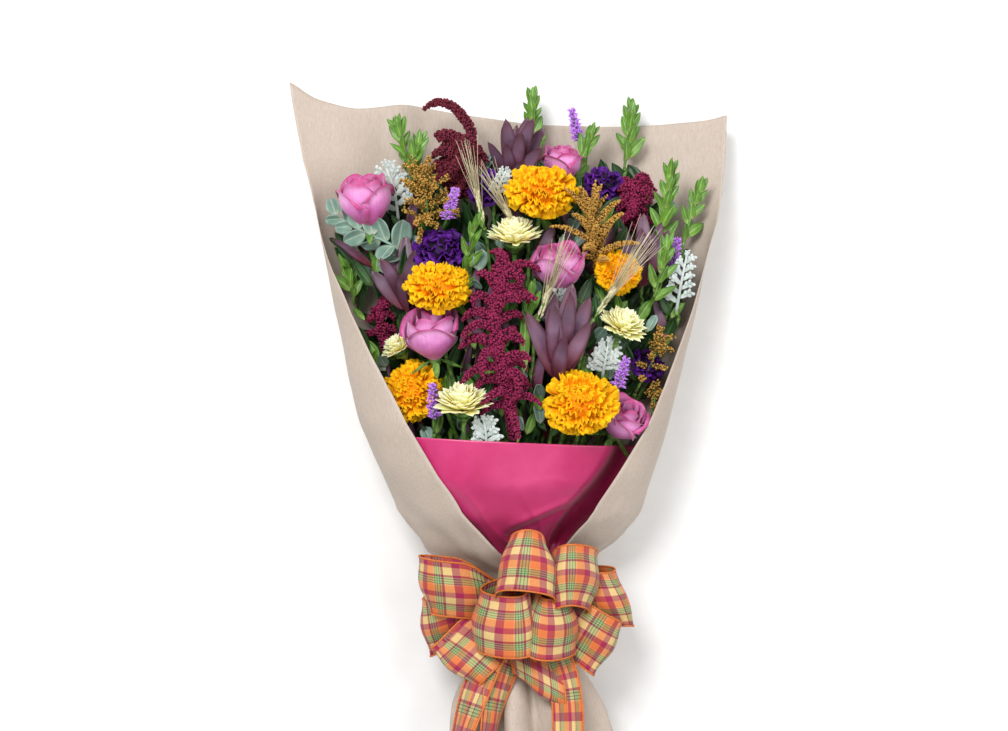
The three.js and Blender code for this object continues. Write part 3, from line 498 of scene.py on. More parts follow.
# Velvet purple, darkened to nearly black towards the petal roots as painted shade between the ruffles
CARNATION = petal_finish(
    "purple carnation petal", [(0.0, "14041c"), (0.4, "2a083c"), (0.8, "400c60"), (1.0, "64189a")],
    0.6, 18, 0.3, 0.4, 10, 0.3, **{"Specular IOR Level": 0.25},
)
# Pale straps that let light through, yellower at their roots
CREAM = petal_finish(
    "cream daisy petal", [(0.0, "ecdc70"), (0.25, "faec94"), (0.7, "fdf6b8"), (1.0, "fffbd2")],
    0.6, 6, 0.03, 0.04, 8, 0.1, **{"Subsurface Weight": 0.25, "Subsurface Scale": 0.004},
)
# Burgundy with a painted grey-lilac sheen along the middle of each leaf, under a thin waxy coat, dark at the
# rims
LANCE = petal_finish(
    "waxy burgundy leaf", [(0.0, "7c2630"), (0.3, "7c4258"), (0.65, "846680"), (1.0, "5c2a3c")],
    0.42, 10, 0.12, 0.4, 30, 0.12, "581e2e", **{"Coat Weight": 0.12, "Coat Roughness": 0.4},
)
# Light green with a pale midrib and a soft shine
FRESH = petal_finish(
    "fresh green leaf", [(0.0, "aac870"), (0.3, "72a238"), (0.8, "588c2a"), (1.0, "7aaa42")],
    0.42, 12, 0.2, 0.35, 9, 0.25, None, "b8d488",
)
# The leaves deep in the gaps between the flowers: a green darkened to a painted shade, so that the gaps look
# dark
LEAF_IN_PAINTED_SHADE = petal_finish(
    "dark green leaf", [(0.0, "4c7036"), (0.4, "2e5428"), (1.0, "264c24")],
    0.4, 12, 0.25, 0.5, 24, 0.25, None, "5c8448",
)
# White felt without any shine
DUSTY = petal_finish(
    "felted silver leaf", [(0.0, "a9b8ae"), (0.5, "c3cfca"), (1.0, "dfe8e6")],
    0.9, 8, 0.1, 0.15, 6, 0.3, **{"Sheen Weight": 0.6, "Sheen Roughness": 0.6},
)
# Grey green with a powdery bloom, its rim and midrib paler
EUCALYPTUS = petal_finish(
    "bloomy eucalyptus leaf", [(0.0, "c4ccb8"), (0.25, "7f9e8c"), (0.8, "74978a"), (1.0, "9ab4a6")],
    0.6, 10, 0.12, 0.25, 14, 0.15, "9ab4a6", "b4c8b4",
)
# Dry and pale, with fine ribs along it
STRAW = petal_finish(
    "dry barley straw", [(0.0, "b8b080"), (0.3, "d8cca0"), (1.0, "ece2c4")], 0.6, 10, 0.2, 0.2, 12, 0.2,
)
# Florets: dark roots in painted shade, their own colour in the middle and light tips as a painted highlight;
# all dull but the liatris
DULL = {"Specular IOR Level": 0.2}
AMARANTHUS = bud_finish("amaranthus florets", "200410", "5c0f2e", "9c2e58", 2.0, 0.85, **DULL)
WINE = bud_finish("wine red amaranthus florets", "1c060e", "4c1424", "80303f", 2.0, 0.85, **DULL)
GOLDENROD = bud_finish("golden rod florets", "3c2c12", "91691f", "cf9f48", 2.5)
LIATRIS = bud_finish("liatris florets", "7a34ac", "b45ee0", "dc9cfc", 2.5, 0.7, **{"Sheen Weight": 0.3})


# The wrap: y, the left and right sides, the depth, the angles round the section at which the left and
# the right free edges end (0 on the floor, 180 at the front), and the lift off the floor
WRAP_ROWS = [
    (-344, -56, 110, 98, 204, 174, 0), (-290, -54, 94, 88, 200, 174, 0), (-235, -38, 66, 70, 200, 174, 0),
    (-186, -13, 41, 50, 200, 174, 2.6), (-166, -13, 41, 50, 198, 172, 2.6), (-152, -44, 64, 68, 184, 157, 0),
    (-135, -80, 90, 92, 173, 150, 0), (-95, -107, 132, 126, 153, 146, 0), (-50, -128, 148, 148, 144, 135, 0),
    (0, -150, 162, 158, 137, 121, 0), (60, -164, 176, 160, 126, 111, 0), (130, -179, 193, 156, 113, 102, 0),
    (200, -192, 210, 150, 92, 86, 0), (265, -206, 220, 150, 68, 66, 0), (344, -221.5, 221.5, 150, 55, 58, 0),
]
LEFT, RIGHT, DEPTH, END_LEFT, END_RIGHT, LIFT = [[(row[0], row[k]) for row in WRAP_ROWS] for k in range(1, 7)]
SPINE_FLAT = 5
FLAP_LAP = 2.4
TOP_EDGE = [
    (-1, 353), (-0.88, 336), (-0.66, 325), (-0.42, 331), (-0.22, 322), (-0.1, 317), (0.1, 310),
    (0.5, 307), (0.9, 312), (1, 317),
]
# How far the four pleats at each side stand in and out, by Y
PLEATS = [(-344, 7), (-290, 6), (-235, 4), (-190, 0.6), (-162, 0.6), (-135, 3), (-95, 1.5), (-50, 0)]
# Waves in the sheet behind the flowers at its top: their place round the section and their height
BACK_WAVES = [(-0.44, 7), (-0.08, 4), (0.5, 5)]
# Folds that fan out at the front from the tied waist: their depth at each Y
FRONT_FOLDS = [
    (-344, 26), (-290, 24), (-230, 14), (-200, 4), (-187, 0.4), (-163, 0.4), (-150, 3.5), (-125, 6),
    (-90, 3), (-50, 0),
]


def wrap_point(y, u):
    """A point of the wrap's outer face; u goes from the left free edge, -1, to the right one, 1."""
    left, right, depth, lift = (softly(pairs, y) for pairs in (LEFT, RIGHT, DEPTH, LIFT))
    side = -1 if u < 0 else 1
    end = softly(END_LEFT if u < 0 else END_RIGHT, y)
    psi = abs(u) * end
    narrow = math.sin(math.radians(end)) if end < 90 else 1
    lapped = FLAP_LAP * ease(psi, 135, 165) * ease(end, 150, 175) if u < 0 else 0
    half = (right - left) / 2 / narrow + lapped
    tall = (depth + SPINE_FLAT) / 2
    z = tall - (tall + lapped) * math.cos(math.radians(psi))
    x = (left + right) / 2 + side * half * math.sin(math.radians(psi))
    return V((x, y, max(0, z - SPINE_FLAT) + lift))


def creases(x, y, z, size):
    """Sharp soft-sided folds such as crumpled paper has, from 0 on flat paper to 1 on a ridge."""
    spot = V((x, y, z)) / size
    return (1 - min(1, 3.2 * abs(noise.noise(spot)))) ** 2


def kraft_paper():
    """The outer sheet: pleated at the waist, crumpled above and below it and wavy at its top."""
    bm = start_mesh()

    def place(u, v):
        u = 2 * u - 1
        row = mix(*KRAFT_ENDS, v)
        point = wrap_point(row, u)
        if row > TRIM_Y:
            up = (row - TRIM_Y) / (KRAFT_ENDS[1] - TRIM_Y)
            point.y = mix(TRIM_Y, softly(TOP_EDGE, u, 0.05), up)
        from_waist = abs(row - WAIST_Y)
        right = softly(RIGHT, row)
        middle = V(((softly(LEFT, row) + right) / 2, point.y, softly(DEPTH, row) / 2))
        outwards = (point - middle).normalized()

        # four pleats at each side
        on_fold = ease(abs(u), 0.2, 0.4) * (1 - ease(abs(u), 0.8, 0.95))
        sway = 0.12 * noise.noise(V((3 * u, row / 90, 5)))
        fold = -math.cos(8 * math.pi * (u + sway)) * softly(PLEATS, row) * on_fold

        # folds that fan out at the front
        at_front = ease(abs(u) * softly(END_LEFT if u < 0 else END_RIGHT, row), 95, 150)
        share = (point.x - middle.x) / (right - middle.x)
        billow = abs(math.sin(5.2 * share - 0.44 + 0.5 * noise.noise(V((row / 60, 3, 1))))) ** 0.85
        ridge = mix(0.95, 0.75, ease(row, -200, -165))
        fold += softly(FRONT_FOLDS, row) * (billow - ridge) * at_front

        # crumpled where it was gathered, and smooth under the band
        gathered = ease(-abs(row + 165), -110, -20) * ease(from_waist, 9, 26)
        crumple = creases(point.x, 0.45 * row, point.z, 34) * mix(0.5, 3.4, gathered)
        wavy = 2.2 * noise.noise(V((point.x / 90, row / 70, point.z / 90))) * ease(point.z, 4, 40)
        point += outwards * (fold + (crumple + wavy) * ease(point.z, 3, 16) * ease(from_waist, 8, 22))

        # loose behind the flowers at its top
        loose = ease(row, 170, 340)
        waves = sum(high * math.exp(-(((u - at) / 0.07) ** 2)) for at, high in BACK_WAVES)
        point.x += 5 * u**5 * loose
        point.z = max(0, point.z) + loose * waves
        return point

    skin(bm, 112, 150, place)
    set_out("kraft_wrap", bm, [KRAFT], "kraft_paper", "kraft_paper", KRAFT_THICKNESS, 1)


# The pink sheet: y, the middle and the half width, the heights of its front and of its side edges, and
# the depth of the fold in which it turns away on the right
PINK_ROWS = [
    (-146, 13, 44, 70, 40, 3), (-128, 12, 56, 84, 42, 8), (-108, 10, 72, 104, 46, 14),
    (-94, 9, 84, 120, 54, 20), (-60, 10, 110, 142, 68, 30), (-17, 13, 132, 150, 80, 40),
]
PINK_MIDDLE, PINK_HALF, PINK_TOP, PINK_SIDE, PINK_DROP = [
    [(row[0], row[k]) for row in PINK_ROWS] for k in range(1, 6)
]


def pink_paper():
    """The inner sheet: a pocket across the front, gathered towards the knot, with one long fold."""
    bm = start_mesh()

    def place(u, v):
        u = 2 * u - 1
        y = mix(*PINK_ENDS, v)
        # the sheet arches from its side edges, where crown is 0, to its front, where it is 1
        crown = max(0, 1 - (abs(u + 0.1) / 1.1) ** 2.4) ** 0.7
        middle, half, top, side, drop = (
            softly(pairs, y, 5) for pairs in (PINK_MIDDLE, PINK_HALF, PINK_TOP, PINK_SIDE, PINK_DROP)
        )
        # the valley in which it turns away on the right
        low = 1 - ease(y, -125, -30)
        off = u - mix(0.78, 0.56, low)
        reach = mix(0.2, 0.3, low) if off > 0 else mix(0.07, 0.1, low)
        valley = (drop + 20 * low * ease(y, PINK_ENDS[0], -120)) * math.exp(-((off / reach) ** 2))
        tilt = 6 * (u + 0.1) * ease(y, -100, PINK_ENDS[1])
        z = mix(side, top, crown)
        # gathers above the knot, and soft creases, on all but its edges
        inner = 1 - ease(abs(u), 0.75, 0.95)
        gathers = -4.5 * abs(math.sin(5.5 * u + 0.012 * y + 0.8)) ** 0.7 * (1 - ease(y, -140, -62)) * inner
        soft = 1.6 * noise.noise(V((u * 3, y / 60, 2))) * inner
        fold = 2.4 * creases(u * 60 + 20, y * 0.8, 7, 40) * (1 - ease(y, -100, -30)) * inner
        x = middle + (half - 1.8) * u

        # the long fold: the sheet lies lower on one side of a slanting line, in rays from the knot
        below = 0.42 * x - 0.91 * (y + 104)
        across = ease(x, -8, 14) * (1 - ease(x, 64, 84))
        step = 15 * ease(below, 0, 7) * across
        ridge = 2.5 * math.exp(-((below / 5) ** 2)) * across
        turn = math.atan2(x - KNOT.x, y + 152)
        ridge += 4 * abs(math.sin(5 * turn + 0.6)) ** 0.6 * ease(below, 6, 16) * across
        return V((x, y - tilt, z - 2 + gathers + soft + fold + ridge - max(valley, step)))

    skin(bm, 120, 72, place)
    set_out("pink_sheet", bm, [PINK], "pink_paper", "pink_paper", PINK_THICKNESS, -1)


# The bow's loops: the far end, the way the ribbon's width lies there, how far its layers stand apart, and
# by how many degrees the two layers turn away from each other
LOOPS = [
    ((-86, -163, 96), (0.12, -0.97, -0.16), 28, -14), ((-12, -201, 120), (-0.06, -1, -0.06), 70, 8),
    ((52, -204, 118), (-0.06, 1, 0.04), 56, -14), ((19, -134, 132), (0.1, 1, -0.12), 60, -15),
    ((80, -152, 114), (0.1, 0.96, -0.25), 58, 8), ((118, -176, 86), (-0.35, 0.93, 0.1), 26, 12),
    ((102, -228, 92), (0.56, 0.83, 0), 28, 14), ((-56, -246, 98), (0.77, -0.64, 0), 20, 15),
    ((30, -268, 101), (0.86, -0.5, 0), 17, 12), ((-86, -209, 66), (-0.2, 0.96, 0.12), 22, 10),
]
# Tails: the points of the middle line after the knot, and the tilt of the ribbon about it in degrees
TAILS = [
    ([(-12, -222, 92), (-34, -268, 103), (-54, -330, 112)], (10, 48)),
    ([(2, -226, 88), (-12, -272, 99), (-22, -332, 108)], (-10, -56)),
    ([(44, -226, 90), (58, -270, 102), (60, -334, 112)], (16, -16)),
]


def ribbon(bm, stations, columns, start):
    """Adds a length of wired ribbon through stations of (middle, across, width, gather), and returns how
    long it is. Where it is gathered it lies in pleats, and both edges have a bound wire."""
    points = [station[0] for station in stations]
    length = sum((b - a).length for a, b in zip(points, points[1:]))
    rows = len(stations) - 1

    def place(u, v):
        k = round(v * rows)
        middle, across, width, gather = stations[k]
        up = run_at(points, k).cross(across).normalized()
        side = u - 0.5
        pleats = gather * 3.2 * math.cos(4 * math.pi * u * 1.5)
        flutter = 0.9 * math.sin(7 * side + 0.11 * start + 5 * v)
        curl = 5.5 * side * math.sin(8 * v + 0.023 * start) + 2.4 * math.cos(2 * math.pi * side)
        return middle + across * width * side + up * (pleats + flutter + (1 - gather) * curl)

    skin(bm, columns, rows, place, (RIBBON_WIDTH * MM, length * MM), start=start * MM)
    for u in (0, 1):
        edge = [place(u, k / rows) for k in range(rows + 1)]
        tube(bm, edge, [WIRED_EDGE_RADIUS] * len(edge), 5, finish=1)
    return length


def bow():
    """One ribbon from loop to loop and out into its tails, all gathered at the knot."""
    bm = start_mesh()
    used = 0
    for end, across, gape, flare in LOOPS:
        out = V(end) - KNOT
        across = V(across).normalized()
        thick = out.cross(across).normalized()
        steps = 36
        stations = []
        for k in range(steps + 1):
            t = mix(0.035, 0.965, k / steps)
            far = math.sin(math.pi * t)
            at = KNOT + out * far + thick * (0.5 * gape * math.sin(2 * math.pi * t) * math.sqrt(far))
            open_share = ease((at - KNOT).length / out.length, 0.08, 0.62)
            turn = math.radians(flare * math.sin(2 * math.pi * k / steps))
            turned = Matrix.Rotation(turn, 3, out) @ across
            stations.append((at, turned, RIBBON_WIDTH * mix(0.16, 1, open_share), 1 - open_share))
        used += ribbon(bm, stations, 16, used)
    for line, tilt in TAILS:
        points = smooth_line([KNOT, *line], 30)
        stations = []
        for k, at in enumerate(points):
            t = k / (len(points) - 1)
            run = run_at(points, k)
            flat = V((1, 0, 0)) - run * run.x
            across = Matrix.Rotation(math.radians(mix(*tilt, t)), 3, run) @ flat.normalized()
            stations.append((at, across, mix(12, TAIL_WIDTH, ease(t, 0, 0.3)), 1 - ease(t, 0, 0.35)))
        used += ribbon(bm, stations, 10, used)
    finishes = [RIBBON, WIRED_EDGE]
    piece = set_out("ribbon_bow_loops", bm, finishes, "ribbon_plaid", "ribbon_bow", RIBBON_THICKNESS)


# Flower heads: name, which starts with the kind, middle, the way it faces, radius and height
BLOOMS = [
    ("rose_upper_left", (-144, 222, 84), (-0.12, 0.93, 0.3), 27, 54),
    ("rose_lower_left", (-76, 88, 122), (-0.12, 0.9, 0.4), 27, 52),
    ("rose_centre", (50, 154, 120), (0.02, 0.92, 0.36), 26, 48),
    ("rose_top", (54, 262, 48), (0.1, 0.95, 0.3), 20, 40),
    ("rose_lower_right", (113, 3, 108), (0.4, 0.7, 0.6), 22, 42),
    ("marigold_top", (33, 237, 112), (0.08, 0.84, 0.52), 36, 36),
    ("marigold_left", (-70, 140, 140), (0, 0.86, 0.5), 33, 34),
    ("marigold_left_edge", (-100, 34, 102), (-0.5, 0.4, 0.78), 32, 32),
    ("marigold_front", (71, 26, 150), (0.05, 0.66, 0.74), 37, 40),
    ("marigold_right", (110, 153, 116), (0.25, 0.45, 0.85), 24, 26),
    ("carnation_left", (-67, 178, 95), (0.05, 0.86, 0.5), 29, 30),
    ("carnation_top", (-18, 242, 70), (-0.1, 0.85, 0.5), 23, 26),
    ("carnation_upper_right", (98, 247, 58), (0.2, 0.88, 0.42), 22, 24),
    ("carnation_right", (143, 61, 84), (0.5, 0.6, 0.6), 18, 22),
    ("daisy_upper", (6, 186, 108), (0, 0.95, 0.3), 29, 26),
    ("daisy_front", (-45, 20, 146), (-0.08, 0.93, 0.36), 30, 28),
    ("daisy_right", (112, 97, 128), (0.3, 0.8, 0.5), 25, 24),
    ("daisy_left", (-110, 76, 92), (-0.5, 0.8, 0.3), 19, 18),
]
# A rose's rings of petals: how many, the radius and height by share of the head's, the half angle that a
# petal spans in radians, how far its lip rolls out in millimetres, how much it closes at the top, and how
# round its upper edge is
ROSE_RINGS = [
    (3, 1.0, 0.95, 1.25, 3.8, 0.08, 0.32), (3, 0.94, 1.0, 1.25, 2.8, 0.2, 0.22),
    (3, 0.82, 1.01, 1.25, 2.2, 0.3, 0.18), (3, 0.62, 1.03, 1.3, 1.6, 0.36, 0.14),
    (2, 0.4, 1.02, 1.8, 0.6, 0.34, 0.1),
]
DAISY_LAYERS = 7


def rose(bm, head, radius, height, draw):
    """A half open rose: cups of broad petals with rolled lips round a tight bud."""
    first = draw.uniform(0, 2 * math.pi)
    for ring, (count, wide, tall, span, lip, close, rounded) in enumerate(ROSE_RINGS):
        for k in range(count):
            start = first + 2 * math.pi * (k + 0.5 * ring) / count + draw.uniform(-0.25, 0.25)
            ruffle = draw.uniform(0, 6)
            top = height * tall * draw.uniform(0.95, 1.03)

            def place(u, v):
                # a cup that closes towards its top and rolls its lip outwards
                side = 2 * u - 1
                belly = 0.16 + 0.84 * math.sin(min(1, v / 0.74) * math.pi / 2) ** 0.92
                r = radius * wide * belly * (1 - close * ease(v, 0.5, 1)) + 1.1 * side * v
                z = top * (v - v * v * (rounded * abs(side) ** 2.5 + 0.05 * side))
                rolled = ease(v, 0.78, 1) ** 1.5
                r += lip * rolled * (1 + 0.5 * side * side) + 0.2 * lip * abs(side) ** 4 * ease(v, 0.3, 0.8)
                z += -0.75 * lip * rolled**2 + 0.7 * math.sin(4 * side + ruffle) * ease(v, 0.6, 1)
                turn = start + side * span * (0.5 + 0.5 * ease(v, 0, 0.4)) * (1 - 0.3 * ease(v, 0.72, 1))
                return head @ V((math.cos(turn) * r, math.sin(turn) * r, z))

            skin(bm, 12, 12, place)


def frilled(bm, head, radius, height, draw, petals, spread, wide, ripple, long, skirt):
    """A dense head of ruffled petals, each from its root inside the head to a wavy tip on its dome. The
    last ones are a skirt of broader petals that hang back from the rim."""
    dome = [(0.05, 0.2), (0.15, 0.5), (0.35, 0.66), (0.6, 0.58), (0.76, 0.3), (0.8, 0.1)]
    tube(bm, [head @ V((0, 0, z * height)) for z, _ in dome], [r * radius for _, r in dome], 14, (1, 0.2))
    core = V((0, 0, 0.22 * height))
    for i in range(petals + skirt):
        hangs = i >= petals
        t = min(1, (i + 0.5) / petals)
        polar = math.radians(spread + 6 if hangs else mix(0, spread, t**0.6))
        turn = math.radians(360 * (i - petals) / skirt if hangs else GOLDEN_ANGLE * i)
        turn += draw.uniform(-0.2, 0.2)
        out = V((math.cos(turn), math.sin(turn), 0))
        tip = out * radius * math.sin(polar) + UP * height * (0.4 + 0.55 * math.cos(polar))
        tip *= draw.uniform(0.88, 1.08)
        way = tip - core
        length = way.length * mix(0.55, long, t)
        foot = head @ frame_at(tip - way.normalized() * length, way, 0.6 * UP - out)
        width = radius * wide * mix(0.7, 1, t) * draw.uniform(0.8, 1.2) * (1.35 if hangs else 1)
        curve = math.radians(mix(38, -30, t**0.5) + draw.uniform(-12, 12) - (20 if hangs else 0))
        phase = draw.uniform(0, 6)
        waves = draw.uniform(5, 8)

        def place(u, v):
            side = 2 * u - 1
            half = width / 2 * (0.25 + 0.75 * v**0.8) * (1 - 0.28 * ease(v, 0.82, 1))
            high = ripple * radius * math.sin(waves * side + phase) * v * v - 0.1 * width * side * side * v
            edge = -0.1 * length * side * side * v + 0.5 * math.cos(10 * side + phase) * ease(v, 0.7, 1)
            x, z = bent(length, curve, v, high)
            return foot @ V((x, side * half, z + edge))

        skin(bm, 8, 4, place)


def marigold(bm, head, radius, height, draw):
    """A pompon of many short petals."""
    shape = {"spread": 102, "wide": 0.42, "ripple": 0.08, "long": 0.78, "skirt": 12}
    frilled(bm, head, radius, height, draw, round(3.5 * radius), **shape)


def carnation(bm, head, radius, height, draw):
    """A looser head of few broad petals with deep ruffles."""
    shape = {"spread": 84, "wide": 1.1, "ripple": 0.12, "long": 0.95, "skirt": 5}
    frilled(bm, head, radius, height, draw, round(1.1 * radius), **shape)


def daisy(bm, head, radius, height, draw):
    """Layers of narrow strap petals, the outer ones flat and the inner ones standing up."""
    for layer in range(DAISY_LAYERS):
        inner = layer / (DAISY_LAYERS - 1)
        count = 23 - 2 * layer
        for k in range(count):
            turn = 360 * (k + 0.5 * (layer % 2)) / count + draw.uniform(-5, 5)
            rise = mix(10, 80, inner) + draw.uniform(-6, 6)
            way = off_axis(UP, turn, 90 - rise)
            root = UP * height * mix(0.28, 0.42, inner) + way * 2
            length = radius * mix(1.0, 0.66, inner) * draw.uniform(0.88, 1.06)
            foot = head @ frame_at(root, way)
            bend, twist = draw.uniform(4, 30), draw.uniform(-14, 14)
            blade(bm, foot, length, radius * 0.26, (0.35, 0.2), bend, cup=0.35, twist=twist, grid=(2, 6))


# By kind: what makes the head, its finish, its slot and the thickness of its petals
HEADS = {
    "rose": (rose, ROSE, "rose_petal", 0.4), "marigold": (marigold, MARIGOLD, "marigold_petal", 0.35),
    "carnation": (carnation, CARNATION, "carnation_petal", 0.35), "daisy": (daisy, CREAM, "cream_petal", 0.4),
}
feet = []  # what the stems have to reach: the place, the way it faces and the kind
spray_points = []  # places along the sprays that no leaf may cover


def blooms():
    for i, (name, middle, facing, radius, height) in enumerate(BLOOMS):
        kind = name.split("_")[0]
        axis = V(facing).normalized()
        foot = V(middle) - axis * height / 2
        make, finish, slot, thickness = HEADS[kind]
        bm = start_mesh()
        make(bm, frame_at(foot, axis), radius, height, random.Random(i + 1))
        set_out("petals_of_" + name, bm, [finish], slot, name, thickness)
        feet.append((foot, axis, kind))


# The long rope that arches over the top edge of the paper
CURL = [(-44, 274, 60), (-37, 293, 60), (-46, 311, 58), (-58, 323, 57), (-73, 327, 56), (-86, 320, 56)]
# Sprays: name, which starts with the kind, points from the foot to the tip, and sizes. Amaranthus has the
# length, thickness, spread in degrees and number of its ropes; golden rod the length, number and radius of
# its shoots; lance leaves and greenery the length, width, spread and number of their leaves; dusty miller
# the reach of its lobes, eucalyptus the size and number of its leaves, and barley the length of its awns.
FOLIAGE = [
    ("amaranthus_centre", [(6, -14, 108), (0, 24, 134), (-10, 70, 146), (-14, 118, 148), (0, 158, 136)],
     (44, 5.6, 72, 34)),
    ("lance_leaves_centre", [(48, 34, 112), (51, 62, 124)], (78, 19, 34, 10)),
    ("goldenrod_right", [(90, 140, 92), (84, 180, 114), (82, 214, 120)], (58, 20, 3.2)),
    ("goldenrod_left", [(-92, 188, 62), (-82, 216, 88), (-86, 244, 92)], (46, 34)),
    ("amaranthus_top", [(-46, 232, 48), (-52, 260, 60), (-50, 284, 62)], (34, 6.6, 84, 32, CURL)),
    ("amaranthus_right", [(124, 196, 50), (126, 218, 60), (128, 240, 62)], (28, 5.6, 84, 22)),
    ("lance_leaves_top", [(2, 234, 42), (5, 256, 58)], (64, 16, 34, 12)),
    ("green_top", [(22, 262, 26), (24, 300, 28), (25, 332, 30)], (22, 10.5, 32, 18)),
    ("green_top_right", [(120, 262, 28), (124, 292, 28), (127, 320, 30)], (23, 10.5, 38, 16)),
    ("green_right", [(150, 168, 62), (158, 212, 70), (164, 250, 72)], (24, 11, 38, 18)),
    ("green_right_edge", [(177, 176, 56), (187, 212, 58), (195, 236, 60)], (20, 10, 36, 14)),
    ("green_upper_left", [(-98, 246, 48), (-107, 282, 52), (-112, 300, 54)], (21, 10, 40, 14)),
    ("liatris_top", [(76, 280, 24), (70, 304, 28)], ()),
    ("liatris_right", [(162, 128, 82), (167, 166, 88)], ()),
    ("liatris_lower_right", [(108, 34, 104), (112, 48, 112)], ()),
    ("liatris_lower_left", [(-74, -10, 112), (-75, 20, 118)], ()),
    ("dusty_miller_upper_left", [(-112, 206, 60), (-116, 236, 66), (-124, 258, 66)], (20,)),
    ("dusty_miller_right", [(169, 112, 86), (173, 140, 95), (178, 166, 98)], (17,)),
    ("dusty_miller_lower_right", [(94, 48, 104), (96, 62, 112), (99, 78, 112)], (18,)),
    ("dusty_miller_front", [(-24, -34, 134), (-22, -14, 142), (-24, 2, 144)], (18,)),
    ("goldenrod_lower_right", [(136, -22, 68), (146, 14, 84), (148, 34, 88)], (20, 14)),
    ("lance_leaves_left", [(-100, 104, 72), (-106, 130, 78)], (60, 18, 40, 8)),
    ("lance_leaves_right", [(134, 130, 70), (137, 154, 76)], (62, 17, 34, 8)),
    ("eucalyptus_left", [(-96, 150, 60), (-112, 176, 78), (-146, 193, 86), (-177, 211, 82)], (27, 14)),
    ("barley_left", [(-24, 196, 96), (-28, 214, 100)], (60,)),
    ("barley_right", [(84, 104, 131), (94, 119, 136)], (84,)),
    ("barley_centre", [(30, 104, 134), (34, 116, 138)], (68,)),
]
# More of them, which the solid model doesn't have
EXTRAS = [
    ("liatris_left", [(-66, 194, 84), (-58, 218, 98)], ()),
    ("amaranthus_far_left", [(-124, 70, 52), (-130, 98, 62), (-130, 122, 64)], (24, 4.6, 76, 10)),
    ("dusty_miller_top", [(-12, 226, 84), (-8, 240, 98), (-3, 252, 102)], (11,)),
    ("barley_upper", [(14, 184, 98), (4, 202, 106)], (56,)),
    ("dusty_miller_centre", [(38, 94, 108), (44, 114, 122), (50, 130, 126)], (15,)),
    ("goldenrod_far_right", [(128, 30, 76), (144, 62, 96), (152, 86, 104)], (26, 14)),
]


def amaranthus(bm, line, draw, length, thick, spread, count, curl=None):
    """Fuzzy ropes of florets that arch out from a thick stalk and droop at their ends."""
    rope(bm, line, draw, thick * 1.1)
    if curl:
        rope(bm, smooth_line(curl, 16), draw, 5, spacing=2.3, size=1.3)
    for i in range(count):
        t = mix(0.16, 1, (i + 0.5) / count)
        at, axis = walk(line, t)
        turn = GOLDEN_ANGLE * i + draw.uniform(-25, 25)
        way = off_axis(axis, turn, spread * mix(1.0, 0.6, t) * draw.uniform(0.75, 1.1))
        way.z *= 0.6
        reach = length * mix(1.0, 0.85, t) * draw.uniform(0.75, 1.1)
        droop = V((draw.uniform(-0.9, 0.9), -1.5, -0.3)) * draw.uniform(0.6, 1.6)
        droop *= mix(0.5, 1, ease(t, 0.1, 0.4))
        rope(bm, sagging(at, way, droop, reach, 9), draw, thick * draw.uniform(0.6, 0.85))


def goldenrod(bm, line, draw, length, count, full=0):
    """Arching side shoots, thin as wire with loose tiny florets, or full with a given radius."""
    stalk(bm, line, 1.6, 0.7)
    for i in range(count):
        t = mix(0.2, 1, (i + 0.5) / count)
        at, axis = walk(line, t)
        turn = GOLDEN_ANGLE * i + draw.uniform(-20, 20)
        way = off_axis(axis, turn, mix(70, 22, t) * draw.uniform(0.75, 1.15))
        reach = length * mix(1, 0.6, t) * draw.uniform(0.7, 1.1)
        points = sagging(at, way, V((0, -0.6, 0.25)), reach, 7)
        if full:
            radius = full * draw.uniform(0.75, 1.15)
            rope(bm, points, draw, radius, spacing=2.3, size=1.25, slim=0.5, long=1.1, lean=0.2)
            continue
        tube(bm, points, [0.45] * len(points), 4)
        for _ in range(round(reach * 1.5)):
            at, run = walk(points, draw.uniform(0.12, 1))
            outward = off_axis(run, draw.uniform(0, 360), draw.uniform(40, 90))
            grown = draw.uniform(0.9, 1.45)
            place = frame_at(at + outward * draw.uniform(0.8, 3.4), outward)
            stamp(bm, place @ Matrix.Diagonal((grown, grown, grown * 1.2, 1)))


def leafy(bm, line, draw, length, width, spread, count):
    """A leafy shoot, its pairs of leaves closer towards the tip."""
    stalk(bm, line, 1.5, 0.8)
    for i in range(count):
        t = mix(0.05, 1, ((i + 0.5) / count) ** 0.85)
        at, axis = walk(line, t)
        turn = 90 * i + draw.uniform(-25, 25)
        way = off_axis(axis, turn, spread * mix(1.15, 0.35, t) * draw.uniform(0.8, 1.2))
        size = mix(1.1, 0.8, t) * draw.uniform(0.85, 1.15)
        foot = frame_at(at, way, 0.4 * axis + 0.9 * UP + V((draw.uniform(-0.6, 0.6), 0, 0)))
        bend, twist = draw.uniform(-34, 6), draw.uniform(-20, 20)
        long, wide = 1.1 * length * size, 0.92 * width * size
        blade(bm, foot, long, wide, (0.52, 0.78), bend, wave=0.5, twist=twist, grid=(6, 10), finish=1)


def lance(bm, line, draw, length, width, spread, count):
    """Long stiff waxy leaves in an upright cup round the tip of the shoot."""
    stalk(bm, line, 2.2, 1.4)
    for i in range(count):
        t = (i + 0.5) / count
        at, axis = walk(line, mix(0.15, 1, t))
        way = off_axis(axis, GOLDEN_ANGLE * i + draw.uniform(-10, 10), mix(spread, spread * 0.25, t))
        size = draw.uniform(0.85, 1.08)
        foot = frame_at(at, way, 0.5 * axis + UP + V((draw.uniform(-0.5, 0.5), 0, 0)))
        twist = draw.uniform(-14, 14)
        belly = 0.5, 0.62
        blade(bm, foot, length * size, width * size, belly, -12, 0.2, 0.3, twist, grid=(6, 12), finish=1)


